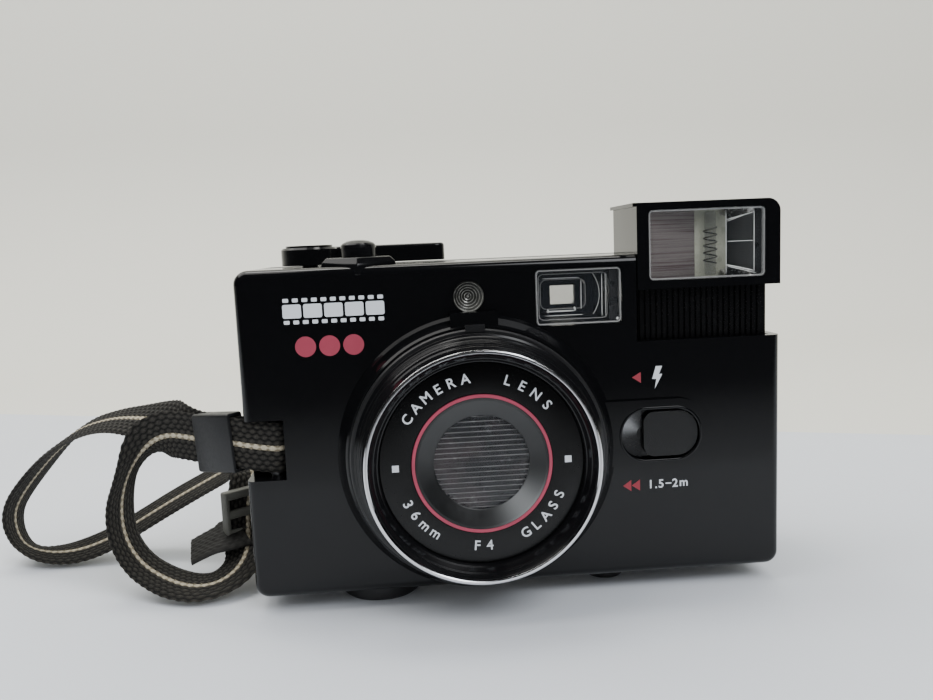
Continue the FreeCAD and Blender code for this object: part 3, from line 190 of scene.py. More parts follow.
# making materials
class Nodes:
    # a small helper round one material's node tree
    def __init__(self, name, color, roughness, metallic=0.0):
        self.material = bpy.data.materials.new(name)
        self.material.use_nodes = True
        self.tree = self.material.node_tree
        self.shader = self.tree.nodes["Principled BSDF"]
        self.set("Base Color", (*color, 1.0))
        self.set("Roughness", roughness)
        self.set("Metallic", metallic)
        self.place = self.add("ShaderNodeTexCoord").outputs["Object"]

    def set(self, socket, value):
        self.shader.inputs[socket].default_value = value

    def add(self, kind, **values):
        node = self.tree.nodes.new(kind)
        for key, value in values.items():
            setattr(node, key, value)
        return node

    def link(self, source, target):
        self.tree.links.new(source, target)

    def number(self, operation, first, second=0.0):
        node = self.add("ShaderNodeMath", operation=operation)
        for socket, value in zip(node.inputs, (first, second)):
            if isinstance(value, (int, float)):
                socket.default_value = value
            else:
                self.link(value, socket)
        return node.outputs[0]

    def noise(self, scale, detail=3.0, roughness=0.55, coords=None):
        node = self.add("ShaderNodeTexNoise")
        node.inputs["Scale"].default_value = scale
        node.inputs["Detail"].default_value = detail
        node.inputs["Roughness"].default_value = roughness
        self.link(coords or self.place, node.inputs["Vector"])
        return node.outputs["Fac"]

    def span(self, value, low, high, newLow=0.0, newHigh=1.0):
        node = self.add("ShaderNodeMapRange")
        self.link(value, node.inputs["Value"])
        for key, number in (("From Min", low), ("From Max", high), ("To Min", newLow), ("To Max", newHigh)):
            node.inputs[key].default_value = number
        return node.outputs["Result"]

    def blend(self, factor, first, second):
        node = self.add("ShaderNodeMix", data_type="RGBA")
        self.link(factor, node.inputs["Factor"])
        for key, value in (("A", first), ("B", second)):
            socket = [s for s in node.inputs if s.name == key and s.type == "RGBA"][0]
            if isinstance(value, tuple):
                socket.default_value = (*value, 1.0)
            else:
                self.link(value, socket)
        return [s for s in node.outputs if s.type == "RGBA"][0]

    def color(self, source):
        self.link(source, self.shader.inputs["Base Color"])

    def rough(self, source):
        self.link(source, self.shader.inputs["Roughness"])

    def bump(self, height, strength, distance):
        # distance in metres; later bumps sit on top of earlier ones
        node = self.add("ShaderNodeBump")
        node.inputs["Strength"].default_value = strength
        node.inputs["Distance"].default_value = distance
        self.link(height, node.inputs["Height"])
        taken = self.shader.inputs["Normal"]
        if taken.is_linked:
            self.link(taken.links[0].from_socket, node.inputs["Normal"])
        self.link(node.outputs["Normal"], taken)

    def parts(self, coords=None):
        node = self.add("ShaderNodeSeparateXYZ")
        self.link(coords or self.place, node.inputs[0])
        return node.outputs[0], node.outputs[1], node.outputs[2]

    def stretched(self, scale, coords=None):
        # coordinates scaled by their own amount along each axis
        node = self.add("ShaderNodeMapping")
        node.inputs["Scale"].default_value = scale
        self.link(coords or self.place, node.inputs["Vector"])
        return node.outputs[0]

    def hump(self, value, middle, width):
        # exp(-((value - middle) / width)^2)
        away = self.number("DIVIDE", self.number("SUBTRACT", value, middle), width)
        return self.number("EXPONENT", self.number("MULTIPLY", self.number("MULTIPLY", away, away), -1.0))

    def fromSpot(self, spot):
        # offsets and distance in metres from a spot (x, height) of the front, given in case millimetres
        x, y, z = self.parts()
        dx = self.number("SUBTRACT", x, spot[0] * mm)
        dz = self.number("SUBTRACT", z, spot[1] * mm + baseZ)
        squares = self.number("ADD", self.number("MULTIPLY", dx, dx), self.number("MULTIPLY", dz, dz))
        return dx, dz, self.number("SQRT", squares)


# camera, table and light
camera = {
    "spot": (-0.024055, -0.19998, 0.084034),
    "yaw": 0.068,            # radians towards the flash
    "pitch": 0.125,          # downwards
    "roll": -0.042,
    "lens": 31.995,
    "sensor": 36.0,
}


def makeCamera():
    # looks along (sin yaw cos pitch, cos yaw cos pitch, -sin pitch), then rolls about that line
    data = bpy.data.cameras.new("camera")
    data.lens = camera["lens"]
    data.sensor_width = camera["sensor"]
    data.clip_start = 0.01
    holder = bpy.data.objects.new("camera", data)
    bpy.context.scene.collection.objects.link(holder)
    y, p, r = camera["yaw"], camera["pitch"], camera["roll"]
    ahead = Vector((math.sin(y) * math.cos(p), math.cos(y) * math.cos(p), -math.sin(p)))
    right = Vector((math.cos(y), -math.sin(y), 0.0))
    up = right.cross(ahead)
    rolledRight = math.cos(r) * right + math.sin(r) * up
    rolledUp = -math.sin(r) * right + math.cos(r) * up
    turn = np.array([rolledRight, rolledUp, -ahead]).T
    holder.matrix_world = Matrix([[*turn[k], camera["spot"][k]] for k in range(3)] + [[0, 0, 0, 1]])
    bpy.context.scene.camera = holder


stage = {
    "sheetFront": -1.6,
    "sheetBack": ((-1.6, 0.79), (1.6, -0.42)),      # back edge of the paper on the table, left and right
    "sheetColor": (0.66, 0.69, 0.74),
    "sheetTones": ((0.62, 0.65, 0.70), (0.70, 0.73, 0.775)),
    "wallColor": (0.74, 0.73, 0.66),
    "wallY": 0.62,
    "wallTop": 1.9,
    "wallFoot": -0.0015,     # just under the paper
    "halfWidth": 3.2,
    "bend": 0.20,
}


def makeStage():
    paper = Nodes("stagePaper", stage["sheetColor"], 0.6)
    paper.color(paper.blend(paper.noise(7.0, 4.0), *stage["sheetTones"]))
    paper.bump(paper.noise(900.0, 2.0), 0.12, 0.0002)
    left, right = stage["sheetBack"]
    near = stage["sheetFront"]
    corners = [(left[0], near, 0), (right[0], near, 0), (*right, 0), (*left, 0)]
    sheet = addMesh("tableSheet", np.array(corners), [[0, 1, 2, 3]], None, paper.material, None, closed=False)
    # backdrop: level, then a quarter circle (bend sin a, bend (1 - cos a)), then upright
    wall = Nodes("stageWall", stage["wallColor"], 0.75)
    wide = stage["halfWidth"]
    turn = np.linspace(0, math.pi / 2, 17)
    bend, low = stage["bend"], stage["wallFoot"]
    y = np.concatenate([[-wide], stage["wallY"] - bend + bend * np.sin(turn), [stage["wallY"]]])
    z = np.concatenate([[low], low + bend * (1 - np.cos(turn)), [stage["wallTop"]]])
    grid = np.stack([np.stack([np.full(len(y), x), y, z], -1) for x in (-wide, wide)])
    back = gridSurface("backdrop", grid, None, wall.material, None, closed=False, sharp=80)


light = {
    "strength": 0.94,
    "room": (0.80, 0.81, 0.82),             # what lights the scene
    "mirrored": (0.005, 0.0055, 0.006),     # what polished faces mirror
    "lamps": [
        # name, spot, target, width and height of the panel, power, colour
        ("keyLamp", (-0.55, 0.10, 1.05), (0, 0.02, 0.03), (0.9, 0.9), 9.0, (1.0, 0.985, 0.96)),
        ("frontLamp", (0.5, -0.75, 1.0), (0, 0.0, 0.03), (0.7, 0.7), 11.0, (0.95, 0.97, 1.0)),
        ("wallLamp", (0.0, 0.25, 1.35), (0.05, 0.62, 0.55), (0.8, 0.3), 7.0, (1.0, 0.99, 0.94)),
    ],
    # a dark sheet over the table in front, seen only by polished faces: a painted dark reflection
    "reflectionFront": -3.0,
    "reflectionBack": -0.115,
    "reflectionHalfWidth": 2.5,
    "reflectionLevel": 0.0012,
    "reflectionFade": (-0.27, -0.12),            # painted reflection: from black far in front to the table's own tone near the case
    "reflectionTones": ((0.003, 0.003, 0.004), (0.50, 0.52, 0.55)),
}


def makeLamp(name, spot, target, size, power, color):
    data = bpy.data.lights.new(name, "AREA")
    data.shape = "RECTANGLE"
    data.size, data.size_y = size
    data.energy = power
    data.color = color
    lamp = bpy.data.objects.new(name, data)
    bpy.context.scene.collection.objects.link(lamp)
    lamp.location = spot
    lamp.rotation_euler = (Vector(target) - Vector(spot)).to_track_quat("-Z", "Y").to_euler()


def makeLight():
    world = bpy.data.worlds.new("studio")
    bpy.context.scene.world = world
    world.use_nodes = True
    tree = world.node_tree
    back = tree.nodes["Background"]
    path = tree.nodes.new("ShaderNodeLightPath")
    mix = tree.nodes.new("ShaderNodeMix")
    mix.data_type = "RGBA"              # its colour sockets are inputs 6 and 7 and output 2
    tree.links.new(path.outputs["Is Glossy Ray"], mix.inputs["Factor"])
    mix.inputs[6].default_value = (*light["room"], 1.0)
    mix.inputs[7].default_value = (*light["mirrored"], 1.0)
    tree.links.new(mix.outputs[2], back.inputs["Color"])
    back.inputs["Strength"].default_value = light["strength"]
    for lamp in light["lamps"]:
        makeLamp(*lamp)
    # sheet seen only in reflections; its colour is a painted dark reflection fading to the table's tone
    dark = Nodes("reflectedDarkSheet", (0.004, 0.004, 0.005), 1.0)
    dark.color(dark.blend(dark.span(dark.parts()[1], *light["reflectionFade"]), *light["reflectionTones"]))
    wide, level = light["reflectionHalfWidth"], light["reflectionLevel"]
    near, far = light["reflectionFront"], light["reflectionBack"]
    corners = [(-wide, near, level), (wide, near, level), (wide, far, level), (-wide, far, level)]
    cloth = addMesh("reflectedDarkSheet", np.array(corners), [[0, 1, 2, 3]], None, dark.material, None, closed=False)
    cloth.visible_camera = False
    cloth.visible_diffuse = False
    cloth.visible_shadow = False
    cloth.visible_transmission = False


makeCamera()
makeStage()
makeLight()
print("camera, table and light made")

# wrist strap
strap = {
    "width": 12.0,
    "thickness": 1.15,
    "stripe": 1.25,            # cream stripe down the middle
    "rib": 1.2,                # width of one row of the weave
    "stitch": 1.9,             # length of one float of the weave
    "relief": 0.17,
    "scallop": 0.018,          # share by which the edges wave in and out
    "edgePower": 7,            # how square the section's rounded edges are
    "step": 0.31,              # spacing of rows along the strap
    "length": 0.334,           # of the whole strap, in metres
    # centre line in mm in the frame: round the pin, through the slider, the long strand, the adjuster
    "pinBack": [(-54.4, -7.4, 39.3), (-55.2, -5.2, 39.3), (-57.8, -5.0, 39.6), (-61.5, -5.7, 40.3),
                (-65.6, -6.3, 41.0), (-70.4, -2.9, 40.9), (-75.2, 0.7, 41.2)],
    "long": [(-80.0, 4.6, 42.6), (-85.4, 8.0, 43.6), (-95.7, 15.0, 43.6), (-104.6, 21.5, 42.2),
             (-114.6, 28.0, 38.8), (-122.8, 32.0, 33.2), (-129.4, 34.5, 27.0), (-135.8, 36.0, 19.8),
             (-138.6, 36.0, 14.2), (-138.2, 36.0, 8.2), (-135.4, 35.0, 4.2), (-128.6, 33.8, 2.4),
             (-120.2, 33.2, 2.8), (-111.6, 34.4, 5.4), (-103.5, 35.5, 9.7), (-93.5, 36.5, 15.2),
             (-82.2, 34.5, 21.2), (-73.6, 31.0, 26.0)],
    "longCentre": (-104.0, 28.0, 22.0),
    "longLean": [10, 50, 80, 86, 84, 91, 92, 88, 79, 71, 68, 84, 87, 79, 76, 74, 66, 62],
    "adjuster": [(-68.4, 26.0, 25.4), (-69.3, 21.2, 20.9), (-70.0, 19.4, 16.2), (-70.0, 18.4, 10.2)],
    "adjusterSide": (0.77, 0.64, 0.0),
    # the short strand, from the adjuster back to the slider
    "short": [(-68.8, 11.6, 7.0), (-70.8, 5.2, 4.4), (-75.2, 1.0, 3.0), (-81.6, 1.4, 2.7), (-89.0, 4.8, 4.2),
              (-95.6, 7.8, 7.8), (-99.4, 9.4, 14.4), (-99.8, 10.2, 22.8), (-97.0, 9.2, 31.0),
              (-91.4, 7.0, 38.2), (-84.6, 3.4, 41.6)],
    "shortSide": [(0.80, -0.45, 0.1), (0.70, -0.70, -0.05), (0.35, -0.92, -0.16), (0.10, -0.97, -0.20),
                  (-0.12, -0.97, -0.18), (-0.28, -0.95, -0.05), (-0.28, -0.95, 0.10), (-0.25, -0.93, 0.25),
                  (0.10, -0.90, 0.42), (0.12, -0.75, 0.65), (0.00, -0.10, 1.0)],
    "pinFront": [(-78.6, 0.6, 41.2), (-76.0, -0.8, 40.9), (-71.1, -4.1, 40.9), (-66.4, -7.7, 41.0),
                 (-62.2, -9.0, 40.3), (-57.6, -9.5, 39.6), (-55.2, -9.4, 39.3), (-54.4, -7.6, 39.3)],
    "upright": (0.05, -0.05, 1.0),
}


def smoothLine(points, resolution=14):
    # NURBS spline with these control points, read back as the points Blender draws it with
    curve = bpy.data.curves.new("route", "CURVE")
    curve.dimensions = "3D"
    spline = curve.splines.new("NURBS")
    spline.points.add(len(points) - 1)
    spline.points.foreach_set("co", np.hstack([points, np.ones((len(points), 1))]).ravel())
    spline.order_u = 3
    spline.use_endpoint_u = True
    spline.resolution_u = resolution
    holder = bpy.data.objects.new("route", curve)
    bpy.context.scene.collection.objects.link(holder)
    bpy.context.view_layer.update()
    mesh = bpy.data.meshes.new_from_object(holder)
    line = np.zeros(len(mesh.vertices) * 3)
    mesh.vertices.foreach_get("co", line)
    bpy.data.objects.remove(holder)
    bpy.data.meshes.remove(mesh)
    return line.reshape(-1, 3)


def unit(vectors):
    # v / |v|
    return vectors / np.linalg.norm(vectors, axis=-1, keepdims=True)


def loopSides(points, centre, lean):
    # width direction = cos(lean) * outward + sin(lean) * back, both square to the strand,
    # where outward leaves the loop's centre and back is the third direction
    ahead = unit(np.gradient(points, axis=0))
    out = points - np.asarray(centre)
    out = unit(out - (out * ahead).sum(-1, keepdims=True) * ahead)
    back = np.cross(ahead, out)
    angle = np.radians(lean)[:, None]
    return np.cos(angle) * out + np.sin(angle) * back


def evenRows(line, side, step):
    # the line and its width directions again at an even spacing, width square to the line
    run = np.concatenate([[0], np.cumsum(np.linalg.norm(np.diff(line, axis=0), axis=1))])
    count = int(run[-1] / step) + 1
    at = np.linspace(0, run[-1], count)
    line = np.stack([np.interp(at, run, line[:, k]) for k in range(3)], -1)
    side = np.stack([np.interp(at, run, side[:, k]) for k in range(3)], -1)
    kernel = np.hanning(13)[1:-1]
    kernel /= kernel.sum()
    padding = len(kernel) // 2
    side = np.stack([np.convolve(np.pad(side[:, k], padding, "edge"), kernel, "valid") for k in range(3)], -1)
    ahead = unit(np.gradient(line, axis=0))
    side = unit(side - (side * ahead).sum(-1, keepdims=True) * ahead)
    return at, line, side, np.cross(ahead, side)


def webbingSurface(name, line, side, material, body):
    # woven ribbon: point(s, u) = line(s) + side * u * half width + face * rim(u) * (half thickness + relief),
    # rim = sqrt(1 - |u|^7), relief = floats of the weave, each row half a float on from its neighbour
    at, line, side, face = evenRows(line, side, strap["step"])
    half, thick = strap["width"] / 2, strap["thickness"] / 2
    across = np.linspace(-1, 1, 37)
    rim = np.sqrt(np.clip(1 - np.abs(across) ** strap["edgePower"], 0, 1))
    u = np.concatenate([across, across[-2:0:-1]])
    up = np.concatenate([rim, -rim[-2:0:-1]])
    s = at[:, None]
    x = (u * half)[None]
    row = np.floor(x / strap["rib"] + 0.5)
    wave = np.cos(2 * math.pi * x / strap["rib"])
    shift = np.where(row % 2 == 0, 0.0, 0.5)
    crest = np.sin(2 * math.pi * (s / strap["stitch"] + shift + np.where(up < 0, 0.25, 0.0)[None]))
    relief = strap["relief"] * (0.55 * crest + 0.45 * wave)
    edge = 1 + strap["scallop"] * np.sin(2 * math.pi * s / strap["stitch"]) * (np.abs(u)[None] > 0.9)
    middle = line[:, None, :] + side[:, None, :] * (x * edge)[..., None]
    through = (up[None] * (thick + relief))[..., None]
    grid = (middle + face[:, None, :] * through) * mm
    size = grid.shape[:2]
    uv = np.stack([np.broadcast_to((u + 1) / 2, size), np.broadcast_to(s / strap["width"], size)], -1)
    return gridSurface(name, grid, body, material, "webbing", closeColumns=True, uv=uv.reshape(-1, 2), sharp=60)


def webbingMaterial():
    # dark olive-black yarn with a cream stripe, fuzz, small colour changes from float to float, and painted
    # shade in the grooves between floats with painted highlight on their crests
    cloth = Nodes("strapWebbing", (0.03, 0.028, 0.024), 0.82)
    cloth.set("Sheen Weight", 0.05)
    cloth.set("Sheen Roughness", 0.45)
    cloth.set("Sheen Tint", (0.75, 0.72, 0.66, 1.0))
    cloth.set("Specular IOR Level", 0.3)
    flat = cloth.add("ShaderNodeUVMap", uv_map="surface").outputs["UV"]
    u, v = cloth.parts(flat)[:2]
    fromMiddle = cloth.number("ABSOLUTE", cloth.number("SUBTRACT", u, 0.5))
    wobble = cloth.number("MULTIPLY", cloth.number("SUBTRACT", cloth.noise(18.0, 2.0, coords=flat), 0.5), 0.03)
    half = strap["stripe"] / strap["width"] / 2
    stripe = cloth.span(cloth.number("ADD", fromMiddle, wobble), half + 0.006, half - 0.006)
    weave = cloth.stretched((11.8, 9.6, 1.0), flat)
    yarn = cloth.noise(4.0, 4.0, 0.7, coords=weave)
    patch = cloth.noise(90.0, 3.0)
    dark = cloth.blend(cloth.span(yarn, 0.30, 0.72), (0.006, 0.0056, 0.005), (0.052, 0.048, 0.040))
    wearAndHighlight = cloth.blend(cloth.span(patch, 0.45, 0.75, 0.0, 0.45), dark, (0.052, 0.047, 0.037))
    cream = cloth.blend(cloth.span(yarn, 0.3, 0.7), (0.30, 0.26, 0.18), (0.62, 0.56, 0.43))
    # painted highlight and shade: floats are lighter on their crests and darker in the grooves between them,
    # following the relief in the mesh:
    # 0.6 sin(2 pi (s / stitch + row / 2)) + 0.5 cos(2 pi x / rib)
    across = cloth.number("MULTIPLY", cloth.number("SUBTRACT", u, 0.5), strap["width"] / strap["rib"])
    row = cloth.number("FLOOR", cloth.number("ADD", across, 0.5))
    odd = cloth.number("MODULO", cloth.number("ABSOLUTE", row), 2.0)
    along = cloth.number("ADD", cloth.number("MULTIPLY", v, strap["width"] / strap["stitch"]),
                         cloth.number("MULTIPLY", odd, 0.5))
    crest = cloth.number("SINE", cloth.number("MULTIPLY", along, 2 * math.pi))
    groove = cloth.number("COSINE", cloth.number("MULTIPLY", across, 2 * math.pi))
    height = cloth.number("ADD", cloth.number("MULTIPLY", crest, 0.6), cloth.number("MULTIPLY", groove, 0.5))
    lit = cloth.span(cloth.number("ADD", height, cloth.number("MULTIPLY", yarn, 0.6)), -0.35, 1.0)
    yarnColor = cloth.blend(lit, (0.0012, 0.0011, 0.001), wearAndHighlight)
    stripeColor = cloth.blend(cloth.span(lit, 0.0, 0.6), (0.16, 0.135, 0.09), cream)
    cloth.color(cloth.blend(stripe, yarnColor, stripeColor))
    cloth.bump(height, 0.5, 0.00016)
    cloth.bump(cloth.noise(40.0, 2.0, 0.6, coords=weave), 0.5, 0.00012)
    return cloth.material


def makeStrap():
    long = np.array(strap["long"])
    back, adjuster = np.array(strap["pinBack"]), np.array(strap["adjuster"])
    short, front = np.array(strap["short"]), np.array(strap["pinFront"])
    upright = np.array(strap["upright"])
    sides = [
        np.repeat(upright[None], len(back), 0),
        loopSides(long, strap["longCentre"], strap["longLean"]),
        np.repeat(np.array(strap["adjusterSide"])[None], len(adjuster), 0),
        np.array(strap["shortSide"]),
        np.repeat(upright[None], len(front), 0),
    ]
    points = np.concatenate([back, long, adjuster, short, front])
    sides = unit(np.concatenate(sides))
    line = smoothLine(points)
    side = smoothLine(points + sides) - line
    webbing = webbingSurface("strap_webbing", line, side, webbingMaterial(), "case")
    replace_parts(webbing, "strap_long_strand", "strap_short_strand", "strap_loop")
    print("strap spline", round(float(np.linalg.norm(np.diff(line, axis=0), axis=1).sum()), 1), "mm")
    return webbing, line * mm


webbing, strapLine = makeStrap()

# finishes
def polished(name, color, low, high, grain=0.03):
    # moulded or lacquered gloss: roughness drifts between low and high, with a faint ripple and hairlines
    made = Nodes(name, color, low)
    made.set("Specular IOR Level", 0.30)
    drift = made.noise(55.0, 4.0)
    hair = made.span(made.noise(2600.0, 1.0), 0.62, 0.74)
    made.rough(made.number("ADD", made.span(drift, 0.3, 0.7, low, high), made.number("MULTIPLY", hair, 0.05)))
    made.bump(made.noise(160.0, 2.0), grain, 0.0004)
    return made


def satin(name, color, rough, grain=0.25, scale=3200.0, fleck=0.25):
    # fine spark-eroded grain, a little lighter and darker in patches
    made = Nodes(name, color, rough)
    patch = made.noise(120.0, 3.0)
    darker = tuple(c * (1 - fleck) for c in color)
    lighter = tuple(c * (1 + fleck) for c in color)
    made.color(made.blend(patch, darker, lighter))
    made.rough(made.span(made.noise(scale * 0.4, 2.0), 0.3, 0.7, rough - 0.06, rough + 0.08))
    made.bump(made.noise(scale, 2.0), grain, 0.00006)
    return made


def metal(name, color, rough, brushed=None):
    # bare metal whose roughness follows fine streaks, drawn out by the brushed scale
    made = Nodes(name, color, rough, 1.0)
    streak = made.noise(900.0, 3.0, coords=made.stretched(brushed) if brushed else None)
    made.rough(made.span(streak, 0.3, 0.7, rough * 0.7, rough * 1.4))
    made.bump(streak, 0.08, 0.00003)
    return made


def clear(name, color, alpha, rough=0.02):
    # thin clear pane: mostly see-through, with smears in its polish
    made = Nodes(name, color, rough)
    made.set("Alpha", alpha)
    made.set("Specular IOR Level", 1.0)
    made.rough(made.span(made.noise(140.0, 3.0), 0.45, 0.8, rough, rough + 0.12))
    return made


def ringedCone(name, color, rough):
    # turned metal: fine grooves sin(2 pi radius / pitch) round the lens axis
    pitch, highlightSide, highlightWidth = 0.00024, math.radians(-47.0), math.radians(24.0)
    made = Nodes(name, color, rough)
    dx, dz, radius = made.fromSpot(lensAxis)
    made.bump(made.number("SINE", made.number("MULTIPLY", radius, 2 * math.pi / pitch)), 0.10, 0.00002)
    made.rough(made.span(made.noise(300.0, 3.0), 0.3, 0.7, rough - 0.05, rough + 0.06))
    # painted highlight in one sector, and painted light a little towards the top
    wearAndHighlight = made.hump(made.number("ARCTAN2", dz, dx), highlightSide, highlightWidth)
    lit = made.number("ADD", made.number("MULTIPLY", wearAndHighlight, 0.9), made.span(dz, 0.0, 0.014, 0.0, 0.10))
    made.color(made.blend(lit, tuple(c * 0.4 for c in color), (0.20, 0.205, 0.205)))
    return made


def dished(name):
    # polished hollow with a painted highlight on its upper left towards the edge, broken up by streaks
    plain, highlightColor = (0.004, 0.004, 0.005), (0.36, 0.37, 0.38)
    made = Nodes(name, plain, 0.25)
    dx, dz, radius = made.fromSpot((scoop["x"], scoop["z"]))
    angle = made.number("ARCTAN2", dz, made.number("MULTIPLY", dx, -1.0))
    lit = made.hump(angle, math.radians(30.0), math.radians(23.0))
    outwards = made.span(radius, 0.0015, 0.0058, 0.25, 1.0)
    streak = made.span(made.noise(900.0, 3.0), 0.3, 0.7, 0.75, 1.0)
    share = made.number("MULTIPLY", made.number("MULTIPLY", lit, outwards), streak)
    made.color(made.blend(share, plain, highlightColor))
    made.rough(made.span(streak, 0.75, 1.0, 0.3, 0.2))
    made.bump(made.noise(1500.0, 2.0), 0.1, 0.00003)
    return made


def bullseye(name):
    # painted highlights: bright rings sin(2 pi radius / pitch) on a dark dish, with painted light stronger
    # towards the lower right
    pitch = 0.00062
    made = Nodes(name, (0.1, 0.1, 0.1), 0.18, 0.35)
    dx, dz, radius = made.fromSpot((meter["x"], meter["z"]))
    ring = made.number("SINE", made.number("MULTIPLY", radius, 2 * math.pi / pitch))
    broken = made.span(made.noise(700.0, 2.0), 0.35, 0.6, 0.25, 1.0)
    lean = made.span(made.number("SUBTRACT", dx, dz), -0.003, 0.004, 0.03, 0.5)
    bright = made.number("MULTIPLY", made.span(ring, 0.45, 0.95), broken)
    glow = made.number("ADD", bright, made.number("MULTIPLY", lean, 0.35))
    made.color(made.blend(glow, (0.014, 0.014, 0.013), (0.36, 0.36, 0.33)))
    return made


def ribbedSmoke():
    # tinted cover: painted highlights along the crests of its ribs, broken up by scuffs, and faint pinkish
    # painted reflections in patches in the valleys
    made = Nodes("coverSmoke", (0.012, 0.010, 0.012), 0.26)
    height = made.number("SUBTRACT", made.parts()[2], lensAxis[1] * mm + baseZ)
    steps = made.number("DIVIDE", height, coverBlades["pitch"] * mm)
    away = made.number("ABSOLUTE", made.number("SUBTRACT", steps, made.number("ROUND", steps)))
    crest = made.span(away, 0.13, 0.04)
    scuffAndHighlight = made.span(made.noise(260.0, 4.0), 0.25, 0.75, 0.35, 1.0)
    pinkReflection = made.span(made.noise(95.0, 2.0), 0.48, 0.70)
    valley = made.blend(pinkReflection, (0.006, 0.006, 0.008), (0.034, 0.022, 0.024))
    made.color(made.blend(made.number("MULTIPLY", crest, scuffAndHighlight), valley, (0.33, 0.32, 0.32)))
    made.rough(made.span(scuffAndHighlight, 0.3, 1.0, 0.16, 0.3))
    return made


def streakedReflector():
    # bright metallised film: brownish grey, drawn out in fine level streaks
    made = Nodes("reflectorStreaks", (0.30, 0.265, 0.25), 0.33, 0.55)
    streak = made.noise(1.0, 5.0, 0.7, coords=made.stretched((30.0, 30.0, 2400.0)))
    base = made.blend(made.noise(60.0, 3.0), (0.235, 0.20, 0.195), (0.40, 0.365, 0.34))
    made.color(made.blend(made.span(streak, 0.46, 0.66), base, (0.14, 0.09, 0.095)))
    made.bump(streak, 0.3, 0.0001)
    return made


def makeFinishes():
    made = {
        "case": polished("caseBlack", (0.0032, 0.0033, 0.0038), 0.075, 0.15),
        "chassis": satin("chassisBlack", (0.010, 0.010, 0.011), 0.42),
        "control": satin("controlBlack", (0.012, 0.012, 0.013), 0.34),
        "well": satin("wellBlack", (0.006, 0.006, 0.007), 0.5),
        "barrel": polished("barrelBlack", (0.0045, 0.0046, 0.0052), 0.10, 0.2, 0.02),
        "face": polished("faceBlack", (0.0018, 0.0018, 0.002), 0.2, 0.28),
        "cone": ringedCone("coneBlack", (0.016, 0.017, 0.018), 0.33),
        "accent": satin("accentRose", (0.36, 0.045, 0.085), 0.42, 0.1),
        "chrome": metal("chromeTrim", (0.72, 0.72, 0.74), 0.14),
        "smoke": ribbedSmoke(),
        "white": satin("whitePrint", (0.66, 0.69, 0.73), 0.5, 0.1, 3200.0, 0.06),
        "pink": satin("rosePrint", (0.33, 0.034, 0.066), 0.5, 0.1, 3200.0, 0.08),
        "red": satin("redPrint", (0.30, 0.025, 0.042), 0.5, 0.1, 3200.0, 0.08),
        "pane": clear("clearPane", (0.05, 0.055, 0.06), 0.10),
        "lens": clear("opticalGlass", (0.03, 0.035, 0.05), 0.16),
        "paneEdgeHighlight": clear("paneEdgeHighlight", (0.55, 0.55, 0.54), 0.42, 0.08),
        "spark": satin("glassSpark", (0.80, 0.81, 0.78), 0.25, 0.1, 900.0, 0.15),
        "shade": satin("glassShade", (0.020, 0.020, 0.021), 0.3, 0.2, 900.0, 0.5),
        "column": polished("columnBlack", (0.0032, 0.0032, 0.0036), 0.2, 0.3),
        "reflector": streakedReflector(),
        "facet": metal("facetBright", (0.42, 0.41, 0.39), 0.22),
        "facetDark": metal("facetShaded", (0.20, 0.20, 0.195), 0.3, (200.0, 200.0, 4000.0)),
        "tube": satin("tubeGlow", (0.36, 0.365, 0.29), 0.3, 0.3, 1500.0, 0.62),
        "wire": satin("wireDark", (0.03, 0.028, 0.02), 0.4),
        "meter": bullseye("meterBright"),
        "steel": metal("steelPlain", (0.30, 0.30, 0.31), 0.3),
        "spring": metal("springSteel", (0.36, 0.36, 0.37), 0.3),
        "anodised": satin("anodisedBlack", (0.012, 0.012, 0.013), 0.4),
        "brass": metal("brassInsert", (0.62, 0.45, 0.2), 0.3),
        "foam": satin("sealFoam", (0.012, 0.012, 0.012), 0.9, 0.6, 2500.0, 0.4),
        "board": satin("boardGreen", (0.015, 0.10, 0.045), 0.4),
        "sleeve": satin("cellSleeve", (0.06, 0.08, 0.12), 0.35),
        "shrink": satin("capacitorSleeve", (0.015, 0.015, 0.045), 0.4),
        "dial": satin("dialBlack", (0.01, 0.01, 0.01), 0.5),
        "pad": satin("padBlack", (0.0030, 0.0030, 0.0034), 0.36, 0.9, 4200.0, 0.7),
        "scoop": dished("scoopBlack"),
        "charcoal": satin("sliderCharcoal", (0.0065, 0.0068, 0.0078), 0.42, 0.5, 3600.0, 0.3),
        "tail": satin("tailDark", (0.009, 0.0085, 0.0075), 0.7, 0.8, 1400.0, 0.5),
        "buckle": satin("buckleGrey", (0.115, 0.115, 0.10), 0.5, 0.4, 1800.0, 0.35),
        "foot": satin("footBlack", (0.012, 0.012, 0.013), 0.45),
    }
    return {key: value.material for key, value in made.items()}


def dressNodes(finish):
    # finish of every CAD node that stays in view
    dressed = {
        "case": ["front_cover", "back_door", "flash_head", "flash_lid", "battery_door"],
        "chassis": ["main_body", "finder_tunnel", "take_up_spool", "shutter_housing"],
        "well": ["flash_well"],
        "control": ["door_latch", "film_speed_ring", "film_sprocket", "idler_gear", "rewind_hub", "rewind_arm"],
        "column": ["flash_column"],
        "barrel": ["advance_lever", "shutter_button"],
        "foot": ["tripod_boss", "small_feet"],
        "pane": ["finder_window", "flash_window", "lens_window", "counter_window", "film_window"],
        "lens": ["lens_elements", "finder_lenses"],
        "anodised": ["pressure_plate", "lens_cells"],
        "spring": ["pressure_spring", "shutter_leaf_left", "shutter_leaf_right"],
        "steel": ["door_hinge_pin", "case_screws", "strap_pin"],
        "brass": ["tripod_bush"],
        "foam": ["light_seals"],
        "board": ["circuit_board"],
        "sleeve": ["batteries"],
        "shrink": ["flash_capacitor"],
        "dial": ["counter_dial"],
        "pad": ["flash_switch"],
    }
    for key, names in dressed.items():
        for name in names:
            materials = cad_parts[name].data.materials
            materials.clear()
            materials.append(finish[key])


